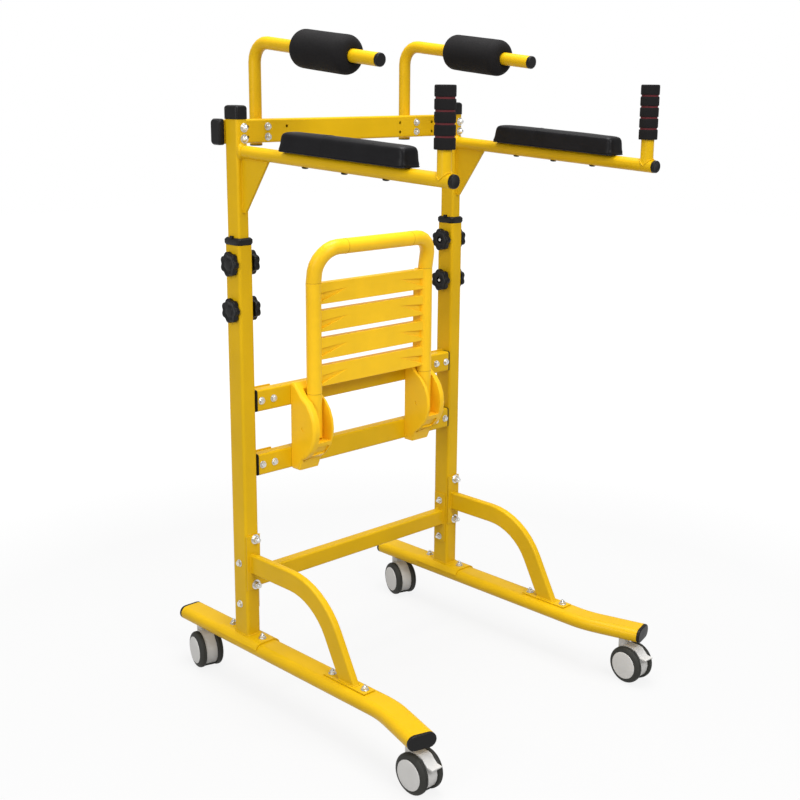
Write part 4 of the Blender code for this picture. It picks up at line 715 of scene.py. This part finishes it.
def wheel(face, corner, middle, out):
    """A tyre with a groove round its tread, and a plain flat hub disc with a softly rounded rim."""
    start = middle + out * WHEEL_START
    profile = [(0.0010, 0.0278), (0.0002, 0.0290), (0.0, 0.0360), (0.0004, 0.0384), (0.0018, 0.0397)]
    profile += [(0.0034, 0.0400), (0.0058, 0.0400), (0.0061, 0.0393), (0.0071, 0.0393), (0.0074, 0.0399)]
    profile += [(0.0063 + 0.0077 * s, 0.0400 - 0.0098 * c) for s, c in quarter(8)[1:-1]]
    profile += [(0.0140, 0.0304), (0.0138, 0.0297), (0.0129, 0.0292)]
    bm = bmesh.new()
    add_turned(bm, profile, start, out, 72, closed=True)
    name = f"{face}_{corner}"
    tyre = make_object(f"tyre_{name}", bm, "tyre_rubber", f"wheel_{name}", 50)
    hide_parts(f"wheel_{name}")
    profile = [(0.0012, 0.0), (0.0012, 0.0275), (0.0127, 0.0288), (0.0141, 0.0296), (0.0147, 0.0294)]
    profile += [(0.0151, 0.0287), (0.0152, 0.0278), (0.0152, 0.0)]
    bm = bmesh.new()
    add_turned(bm, profile, start, out, 72)
    make_object(f"hub_{name}", bm, "grey_plastic", f"wheel_{name}", 50)


def guard(corner, middle, out):
    """The dark strip that closes the housing's underside between the two wheels."""
    ahead = out.cross(Z_AXIS).normalized()
    half, edge = 0.0125, 0.0006
    rings = []
    for step in range(13):
        angle = math.radians(-118 + 56 * step / 12)
        way = ahead * math.cos(angle) + Z_AXIS * math.sin(angle)
        inner, outer = middle + way * 0.0352, middle + way * 0.0386
        ring = [inner - out * half, inner + out * half, outer - way * edge + out * half]
        ring += [outer + out * (half - edge), outer - out * (half - edge), outer - way * edge - out * half]
        rings.append(ring)
    bm = bmesh.new()
    add_rings(bm, rings)
    make_object(f"caster_guard_{corner}", bm, "tyre_rubber", f"caster_{corner}", 40)


for corner, sign in CORNERS:
    middle, out = caster_axes(corner, sign)
    wheel("outer", corner, middle, out)
    wheel("inner", corner, middle, -out)
    guard(corner, middle, out)


# Seat panel: two sleeves, four slats with wedges sunk in their ends, and the webs that join them

SEAT_X, SEAT_Y = 0.160, -0.060
SLEEVE_LOW, SLEEVE_HIGH = 0.6345, 0.8640
SLAT_EDGES = (0.6480, 0.8635)
SLAT_GAPS = (0.6977, 0.7554, 0.8131)
SLAT_GAP_HALF = 0.0065
SLAT_DEPTH = 0.0090
SLAT_REACH = 0.1476
SLOT_END = 0.1435
WEDGE_RUN = 0.0750
WEDGE_TIP = 0.0065
WEDGE_TOP, WEDGE_BOTTOM = 0.0010, -0.0160


def slat_section(low, high, top, bottom, depth):
    """The outline of a slat across its length as (y, z), with the sunk wedge's lips in its front."""
    r = 0.0014

    def rounded(y, z, start):
        angles = [math.radians(start + 90 * step / 3) for step in range(4)]
        return [(y + r * math.cos(angle), z + r * math.sin(angle)) for angle in angles]

    lip = min(0.0005, depth * 0.25)
    points = rounded(SLAT_DEPTH - r, high - r, 0) + rounded(-SLAT_DEPTH + r, high - r, 90)
    points += [(-SLAT_DEPTH, top + lip), (-SLAT_DEPTH + lip, top), (-SLAT_DEPTH + depth, top - lip)]
    points += [(-SLAT_DEPTH + depth, bottom + lip), (-SLAT_DEPTH + lip, bottom), (-SLAT_DEPTH, bottom - lip)]
    return points + rounded(-SLAT_DEPTH + r, low + r, 180) + rounded(SLAT_DEPTH - r, low + r, 270)


def add_slat(bm, low, high):
    """A slat whose wedge-shaped recesses close upwards towards the middle."""
    middle = (low + high) / 2
    start, half_way = SLAT_REACH - WEDGE_RUN, SLAT_REACH - WEDGE_RUN / 2
    rings = []
    for x in (-SLAT_REACH, -half_way, -start, start, half_way, SLAT_REACH):
        share = max(0.0, (abs(x) - start) / WEDGE_RUN)
        top = middle + WEDGE_TIP + (WEDGE_TOP - WEDGE_TIP) * share + 0.00005
        bottom = middle + WEDGE_TIP + (WEDGE_BOTTOM - WEDGE_TIP) * share - 0.00005
        section = slat_section(low, high, top, bottom, 0.00005 + 0.0064 * share)
        rings.append([Vector((x, Y0 + SEAT_Y + y, z)) for y, z in section])
    add_rings(bm, rings)


def seat_panel():
    bm = bmesh.new()
    edges = [SLAT_EDGES[0]]
    for centre in SLAT_GAPS:
        edges += [centre - SLAT_GAP_HALF, centre + SLAT_GAP_HALF]
    edges.append(SLAT_EDGES[1])
    for low, high in zip(edges[::2], edges[1::2]):
        add_slat(bm, low, high)
    length = SLEEVE_HIGH - SLEEVE_LOW
    sleeve = [(0, 0.0126), (0, 0.0153), (0.0002, 0.0158), (0.0007, 0.0160), (length - 0.0007, 0.0160)]
    sleeve += [(length - 0.0002, 0.0158), (length, 0.0153), (length, 0.0126)]
    web = [(-0.0040, 0.0090), (-0.0040, 0), (0.0195, 0), (0.0205, 0.0010), (0.0205, 0.0040), (0.0150, 0.0090)]
    bottom, top = SLAT_EDGES
    heights = ((bottom + 0.0005, 0.6), (0.6620, 1.0), (top - 0.0060, 1.0), (top, 0.8))
    for _, sign in SIDES:
        add_turned(bm, sleeve, Vector((sign * SEAT_X, Y0 + SEAT_Y, SLEEVE_LOW)), Z_AXIS, 48, closed=True)
        rings = []
        for z, back in heights:
            rings.append([Vector((sign * (SLOT_END + x), Y0 + SEAT_Y + y * back, z)) for y, x in web])
        add_rings(bm, rings)
    obj = make_object("seat_slats", bm, "yellow_plastic", "seat", 30)
    weighted = obj.modifiers.new("shading", "WEIGHTED_NORMAL")
    weighted.keep_sharp = True
    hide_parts("seat_panel")


def seam_rings():
    """Thin joint lines on the seat's tube, darker than the tube to paint the shade in their grooves: two on
    the top bar and one at each end of the sleeves.
    """
    low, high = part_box("seat_bow")
    bm = bmesh.new()

    def add_seam(centre, axis, inner, outer, width):
        profile = [(0, inner), (0, outer), (width, outer), (width, inner)]
        add_turned(bm, profile, Vector(centre), axis, 48, closed=True)

    for _, sign in SIDES:
        add_seam((sign * 0.093 - 0.0004, low.y + 0.0160, high.z - 0.0160), X_AXIS, 0.0155, 0.01612, 0.0008)
        for z in (SLEEVE_LOW - 0.0007, SLEEVE_HIGH + 0.0001):
            add_seam((sign * SEAT_X, Y0 + SEAT_Y, z), Z_AXIS, 0.0150, 0.01592, 0.0006)
    make_object("seat_seams", bm, "seam", "seat")


seat_panel()
seam_rings()


# Hand grips and underarm rollers

GRIP_LENGTH = 0.1033
GRIP_RADIUS = 0.0180
GROOVE_RADIUS = 0.0163
GROOVE_HALF = 0.0017
GROOVES = [GRIP_LENGTH * number / 5 for number in range(1, 5)]


def grip(side, sign):
    """Five straight foam segments with crisp edges, parted by narrow tinted grooves, and a flat top."""
    start = arm_matrix(sign) @ Vector((0, POST_Y, 0)) + Z_AXIS * 0.050
    radius, lip, crown = GRIP_RADIUS, 0.0007, 0.0022
    edges = [0.0]
    for centre in GROOVES:
        edges += [centre - GROOVE_HALF, centre + GROOVE_HALF]
    edges.append(GRIP_LENGTH)
    profile = [(0.0002, 0.0130), (0.0, GROOVE_RADIUS)]
    for low, high in zip(edges[::2], edges[1::2]):
        last = high == GRIP_LENGTH
        end = crown if last else lip
        profile += [(low, radius - lip), (low + lip * 0.4, radius - lip * 0.3), (low + lip, radius)]
        for step in range(1, 6):
            profile.append((low + lip + (high - end - low - lip) * step / 6, radius + 0.0001))
        profile.append((high - end, radius))
        if last:
            profile += [(high - end + end * s, radius - end * c) for s, c in quarter(4)[1:]]
        else:
            profile += [(high - lip * 0.4, radius - lip * 0.3), (high, radius - lip)]
            profile += [(high + 0.0002, GROOVE_RADIUS), (high + 2 * GROOVE_HALF - 0.0002, GROOVE_RADIUS)]
    profile += [(GRIP_LENGTH, 0.0100), (GRIP_LENGTH - 0.0004, 0.0060), (GRIP_LENGTH - 0.0004, 0.0)]
    bm = bmesh.new()
    add_turned(bm, profile, start, Z_AXIS, 56, start_cap=False)
    obj = make_object(f"hand_grip_{side}", bm, "black_foam", "upper_frame", 30)
    obj.data.materials.append(MATERIALS["maroon"])
    for face in obj.data.polygons:
        at = face.center.z - start.z
        if any(abs(at - centre) < GROOVE_HALF for centre in GROOVES):
            face.material_index = 1
    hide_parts(f"grip_{side}")


ROLLER_SLOPE = math.radians(5.8)
ROLLER_RADIUS = 0.0364
ROLLER_EDGE = 0.0180


def roller(side, sign):
    """A foam sleeve on the sloping tube, with soft shoulders and a slightly uneven skin."""
    low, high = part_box(f"roller_{side}")
    direction = Vector((0, -math.cos(ROLLER_SLOPE), -math.sin(ROLLER_SLOPE)))
    length = 0.150 / math.cos(ROLLER_SLOPE)
    start = (low + high) / 2 - direction * length / 2
    radius, edge = ROLLER_RADIUS, ROLLER_EDGE
    profile = [(0.0030, 0.0129), (0.0006, 0.0136), (0.0, 0.0160)]
    profile += [(edge * c, radius - edge * (1 - s)) for s, c in quarter(8)]
    profile += [(edge + (length - 2 * edge) * step / 16, radius) for step in range(1, 16)]
    profile += [(length - edge * c, radius - edge * (1 - s)) for s, c in reversed(quarter(8))]
    profile += [(length, 0.0160), (length - 0.0006, 0.0136), (length - 0.0030, 0.0129)]

    def reach(angle, r, at):
        if r < 0.0165:
            return r
        spot = Vector((math.cos(angle) * 2.2, math.sin(angle) * 2.2, at * 26 + sign * 7))
        return r - 0.00025 + 0.00035 * noise.noise(spot)

    bm = bmesh.new()
    add_turned(bm, profile, start, direction, 64, reach, closed=True)
    obj = make_object(f"foam_roller_{side}", bm, "black_foam", "upper_frame", 60)
    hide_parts(f"roller_{side}")


for side, sign in SIDES:
    grip(side, sign)
    roller(side, sign)


# Forearm pads: a padded vinyl cover on a flat base, swollen by a cloth simulation. Their places are in the
# arm's frame, with the distances from the upright to the rear and the front end.

PAD_REAR, PAD_FRONT = 0.1455, 0.4690
PAD_BASE, PAD_TOP, PAD_HALF = 0.0128, 0.0515, 0.0245
PAD_SWELL = 0.0016
PAD_SEAM = 0.36
PAD_SCREWS = (-0.1993, -0.3037, -0.4078)


def pad_shape():
    """The pad before it swells: a flared foot, sides drawn in, steep ends and a flat crown."""
    rings = []
    stations = (
        (0.0000, 0.0016, 0.0016, 0.0016), (0.0010, 0.0002, 0.0002, 0.0002), (0.0038, 0.0002, 0.0004, 0.0002),
        (0.0080, 0.0018, 0.0018, 0.0014), (0.0140, 0.0026, 0.0030, 0.0020), (0.0210, 0.0030, 0.0042, 0.0028),
        (0.0270, 0.0032, 0.0052, 0.0036), (0.0305, 0.0042, 0.0064, 0.0052), (0.0328, 0.0068, 0.0092, 0.0084),
        (0.0338, 0.0108, 0.0132, 0.0128), (0.0342, 0.0160, 0.0180, 0.0180),
    )
    for rise, inset, rear, front in stations:
        length = PAD_FRONT - PAD_REAR - rear - front
        middle = -(PAD_FRONT - front + PAD_REAR + rear) / 2
        corner = max(0.004, 0.0095 - inset * 0.3)
        outline = rounded_rectangle(2 * PAD_HALF - 2 * inset, length, corner, 6)
        rings.append([Vector((a, middle + b, PAD_BASE + rise)) for a, b in outline])
    bm = bmesh.new()
    add_rings(bm, rings)
    bmesh.ops.recalc_face_normals(bm, faces=bm.faces)
    return bm


def bake_modifiers(obj):
    """The mesh that the object's modifiers give; they are then dropped."""
    graph = bpy.context.evaluated_depsgraph_get()
    mesh = bpy.data.meshes.new_from_object(obj.evaluated_get(graph))
    obj.modifiers.clear()
    return mesh


def swell(obj):
    """Blows the pad up a little in a short cloth simulation; no point moves further than PAD_SWELL."""
    rest = [vertex.co.copy() for vertex in obj.data.vertices]
    group = obj.vertex_groups.new(name="base")
    for vertex in obj.data.vertices:
        rise = vertex.co.z - PAD_BASE
        hold = 1.0 if rise < 0.0045 else max(0.0, 0.35 - rise * 14)
        if hold > 0:
            group.add([vertex.index], hold, "REPLACE")
    settings = obj.modifiers.new("swell", "CLOTH").settings
    settings.quality = 6
    settings.mass = 0.25
    settings.tension_stiffness = 18
    settings.compression_stiffness = 18
    settings.shear_stiffness = 8
    settings.bending_stiffness = 6.0
    settings.use_pressure = True
    settings.uniform_pressure_force = 4.0
    settings.effector_weights.gravity = 0.0
    settings.vertex_group_mass = "base"
    scene = bpy.context.scene
    for number in range(1, 21):
        scene.frame_set(number)
    swollen = bake_modifiers(obj)
    scene.frame_set(1)
    if len(swollen.vertices) == len(rest):
        for vertex, before in zip(swollen.vertices, rest):
            move = vertex.co - before
            if move.length > PAD_SWELL:
                move = move * (PAD_SWELL / move.length)
            vertex.co = before + move
        obj.data = swollen
    obj.vertex_groups.clear()


def settle(mesh):
    """Evens out the upper part, and brings the pad back to its full size, which the remesh trims."""
    bm = bmesh.new()
    bm.from_mesh(mesh)
    upper = [vertex for vertex in bm.verts if vertex.co.z > PAD_BASE + 0.0060]
    for _ in range(2):
        bmesh.ops.smooth_vert(bm, verts=upper, factor=0.5, use_axis_x=True, use_axis_y=True, use_axis_z=True)
    bm.to_mesh(mesh)
    bm.free()
    limits = (
        (-PAD_HALF + 0.0001, PAD_HALF - 0.0001),
        (-PAD_FRONT + 0.0002, -PAD_REAR - 0.0002),
        (PAD_BASE + 0.0001, PAD_TOP - 0.0012),
    )
    for axis, (start, end) in enumerate(limits):
        places = [vertex.co[axis] for vertex in mesh.vertices]
        low, high = min(places), max(places)
        for vertex in mesh.vertices:
            vertex.co[axis] = start + (vertex.co[axis] - low) / (high - low) * (end - start)


def make_pad(side, sign):
    obj = new_object(f"forearm_pad_{side}", pad_shape())
    remesh = obj.modifiers.new("even", "REMESH")
    remesh.mode = "VOXEL"
    remesh.voxel_size = 0.0040
    bpy.context.view_layer.update()
    obj.data = bake_modifiers(obj)
    swell(obj)
    mesh = obj.data
    settle(mesh)
    for vertex in mesh.vertices:
        spot = Vector((vertex.co.x * 30, vertex.co.y * 22, vertex.co.z * 30 + sign * 5))
        share = min(1.0, max(0.0, (vertex.co.z - PAD_BASE) / 0.012))
        vertex.co += Vector((0, 0, 0.0004 * share * noise.noise(spot)))
        vertex.co.x += 0.0003 * share * noise.noise(spot + Vector((9, 3, 1)))
        vertex.co.x = max(-PAD_HALF, min(PAD_HALF, vertex.co.x))
        vertex.co.z = max(PAD_BASE + 0.0001, min(PAD_TOP + 0.0006, vertex.co.z))
    mesh.materials.clear()
    mesh.materials.append(MATERIALS["black_vinyl"])
    mesh.transform(arm_matrix(sign))
    mesh.shade_smooth()
    smooth = obj.modifiers.new("smooth", "SUBSURF")
    smooth.levels = 1
    smooth.render_levels = 1
    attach(obj, "upper_frame")
    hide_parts(f"arm_pad_{side}")
    bpy.context.view_layer.update()
    return obj


def sewn_seam(bm, arm, pad):
    """A thin cord across the pad, laid on its surface."""
    tree = BVHTree.FromObject(pad, bpy.context.evaluated_depsgraph_get())
    y = -(PAD_REAR + PAD_SEAM * (PAD_FRONT - PAD_REAR))
    foot = PAD_BASE + 0.004
    line = []
    for step in range(41):
        angle = math.pi * step / 40
        start = arm @ Vector((math.cos(angle) * 0.06, y, foot + math.sin(angle) * 0.06))
        inside = arm @ Vector((math.cos(angle) * 0.010, y, foot + math.sin(angle) * 0.014))
        place, normal, _, _ = tree.ray_cast(start, (inside - start).normalized())
        if place is not None:
            line.append(place + normal * 0.00005)
    if len(line) < 5:
        return
    along = (arm.to_3x3() @ Y_AXIS).normalized()
    rings = []
    for i, point in enumerate(line):
        direction = (line[min(i + 1, len(line) - 1)] - line[max(i - 1, 0)]).normalized()
        out = along.cross(direction).normalized()
        rings.append(circle(point, along * 0.0007, out * 0.00049, 8))
    add_rings(bm, rings)


def welt(bm, arm):
    """A cord round the pad's lower edge."""
    middle = -(PAD_FRONT + PAD_REAR) / 2
    outline = rounded_rectangle(2 * PAD_HALF - 0.0022, PAD_FRONT - PAD_REAR - 0.0022, 0.010, 6)
    path = [arm @ Vector((a, middle + b, PAD_BASE + 0.0014)) for a, b in outline]
    up = (arm.to_3x3() @ Z_AXIS).normalized()
    rings = []
    for i, point in enumerate(path):
        out = (path[(i + 1) % len(path)] - path[i - 1]).normalized().cross(up).normalized()
        rings.append(circle(point, out * 0.0013, up * 0.0013, 10))
    add_rings(bm, rings, closed=True)


def pad_screws(side, arm):
    """Screw caps under the forearm tube."""
    down = (arm.to_3x3() @ -Z_AXIS).normalized()
    profile = [(0, 0.0062), (0.0008, 0.0064), (0.0018, 0.0060), (0.0026, 0.0046), (0.0029, 0.0030)]
    profile += [(0.0024, 0.0024), (0.0024, 0)]
    bm = bmesh.new()
    for y in PAD_SCREWS:
        add_turned(bm, profile, arm @ Vector((0, y, -ARM_RADIUS + 0.0004)), down)
    make_object(f"pad_screws_{side}", bm, "black_plastic", "upper_frame")


for side, sign in SIDES:
    pad = make_pad(side, sign)
    arm = arm_matrix(sign)
    bm = bmesh.new()
    sewn_seam(bm, arm, pad)
    welt(bm, arm)
    make_object(f"pad_seams_{side}", bm, "black_vinyl", "upper_frame")
    pad_screws(side, arm)


# Floor, backdrop, light and camera

def seen_by(tree, *rays):
    """1 for either of two kinds of ray, otherwise 0."""
    path = add_node(tree, "ShaderNodeLightPath")
    seen = add_node(tree, "ShaderNodeMath", operation="MAXIMUM")
    for index, ray in enumerate(rays):
        tree.links.new(path.outputs[ray], seen.inputs[index])
    return seen.outputs[0]


def plain_floor(name, colour, glow):
    """A pale surface that takes the object's shadow, and shows white to the camera further out."""
    material, tree, shader = node_tree(name)
    base = tint(tree, clouds(tree, 3.0), colour, (0.3, 0.995), (0.7, 1.005))
    tree.links.new(base, shader.inputs["Base Color"])
    shader.inputs["Roughness"].default_value = 0.9
    shader.inputs["Specular IOR Level"].default_value = 0.0
    light = add_node(tree, "ShaderNodeEmission")
    light.inputs["Color"].default_value = (1, 1, 1, 1)
    light.inputs["Strength"].default_value = 1.10
    place = add_node(tree, "ShaderNodeTexCoord")
    distance = add_node(tree, "ShaderNodeVectorMath", operation="LENGTH")
    tree.links.new(place.outputs["Object"], distance.inputs[0])
    share = add_node(tree, "ShaderNodeMath", operation="MULTIPLY")
    tree.links.new(seen_by(tree, "Is Camera Ray", "Is Glossy Ray"), share.inputs[0])
    tree.links.new(remap(tree, distance.outputs["Value"], 1.1, 2.4, glow, 1.0), share.inputs[1])
    blend = add_node(tree, "ShaderNodeMixShader")
    for index, socket in enumerate((share.outputs[0], shader.outputs[0], light.outputs[0])):
        tree.links.new(socket, blend.inputs[index])
    output = next(node for node in tree.nodes if node.type == "OUTPUT_MATERIAL")
    tree.links.new(blend.outputs[0], output.inputs["Surface"])
    return material


def make_floor():
    steps, half = 24, 9.0
    places = [-half + 2 * half * i / steps for i in range(steps + 1)]
    bm = bmesh.new()
    rows = [[bm.verts.new((x, y, 0)) for x in places] for y in places]
    for first, second in zip(rows, rows[1:]):
        for j in range(steps):
            bm.faces.new((first[j], first[j + 1], second[j + 1], second[j]))
    floor = new_object("floor", bm)
    floor.data.materials.append(plain_floor("pale_floor", (0.34, 0.34, 0.34), 0.78))


make_floor()

world = bpy.data.worlds.new("studio")
bpy.context.scene.world = world
world.use_nodes = True
tree = world.node_tree
background = tree.nodes["Background"]
background.inputs["Color"].default_value = (1.0, 1.0, 1.0, 1.0)
seen = seen_by(tree, "Is Camera Ray", "Is Transmission Ray")
tree.links.new(remap(tree, seen, 0.0, 1.0, 0.54, 1.0), background.inputs["Strength"])


def area_light(name, location, size, power):
    """A disc lamp that looks at the object's middle."""
    data = bpy.data.lights.new(name, "AREA")
    data.shape = "DISK"
    data.size = size
    data.energy = power
    lamp = bpy.data.objects.new(name, data)
    bpy.context.scene.collection.objects.link(lamp)
    lamp.location = location
    aim = Vector((0, 0, 0.6)) - Vector(location)
    lamp.rotation_euler = aim.to_track_quat("-Z", "Y").to_euler()


area_light("key", (-0.7, -3.0, 3.0), 1.8, 74)
area_light("fill", (-3.2, -0.3, 1.9), 1.8, 37)
area_light("top", (0.2, 0.2, 3.8), 2.2, 110)


def make_camera():
    yaw, pitch, roll = (math.radians(a) for a in (44.1355, 14.3186, 0.4360))
    forward = Vector((math.sin(yaw) * math.cos(pitch), math.cos(yaw) * math.cos(pitch), -math.sin(pitch)))
    right = Vector((math.cos(yaw), -math.sin(yaw), 0))
    up = right.cross(forward)
    turned_right = math.cos(roll) * right + math.sin(roll) * up
    turned_up = math.cos(roll) * up - math.sin(roll) * right
    data = bpy.data.cameras.new("camera")
    data.sensor_width = 36.0
    data.lens = 57.34
    data.clip_start = 0.05
    data.clip_end = 60.0
    camera = bpy.data.objects.new("camera", data)
    bpy.context.scene.collection.objects.link(camera)
    basis = Matrix((turned_right, turned_up, -forward)).transposed().to_4x4()
    camera.matrix_world = Matrix.Translation((-1.8118, -2.0165 + Y0, 1.2733)) @ basis
    bpy.context.scene.camera = camera


make_camera()
bpy.context.scene.view_settings.view_transform = "Standard"
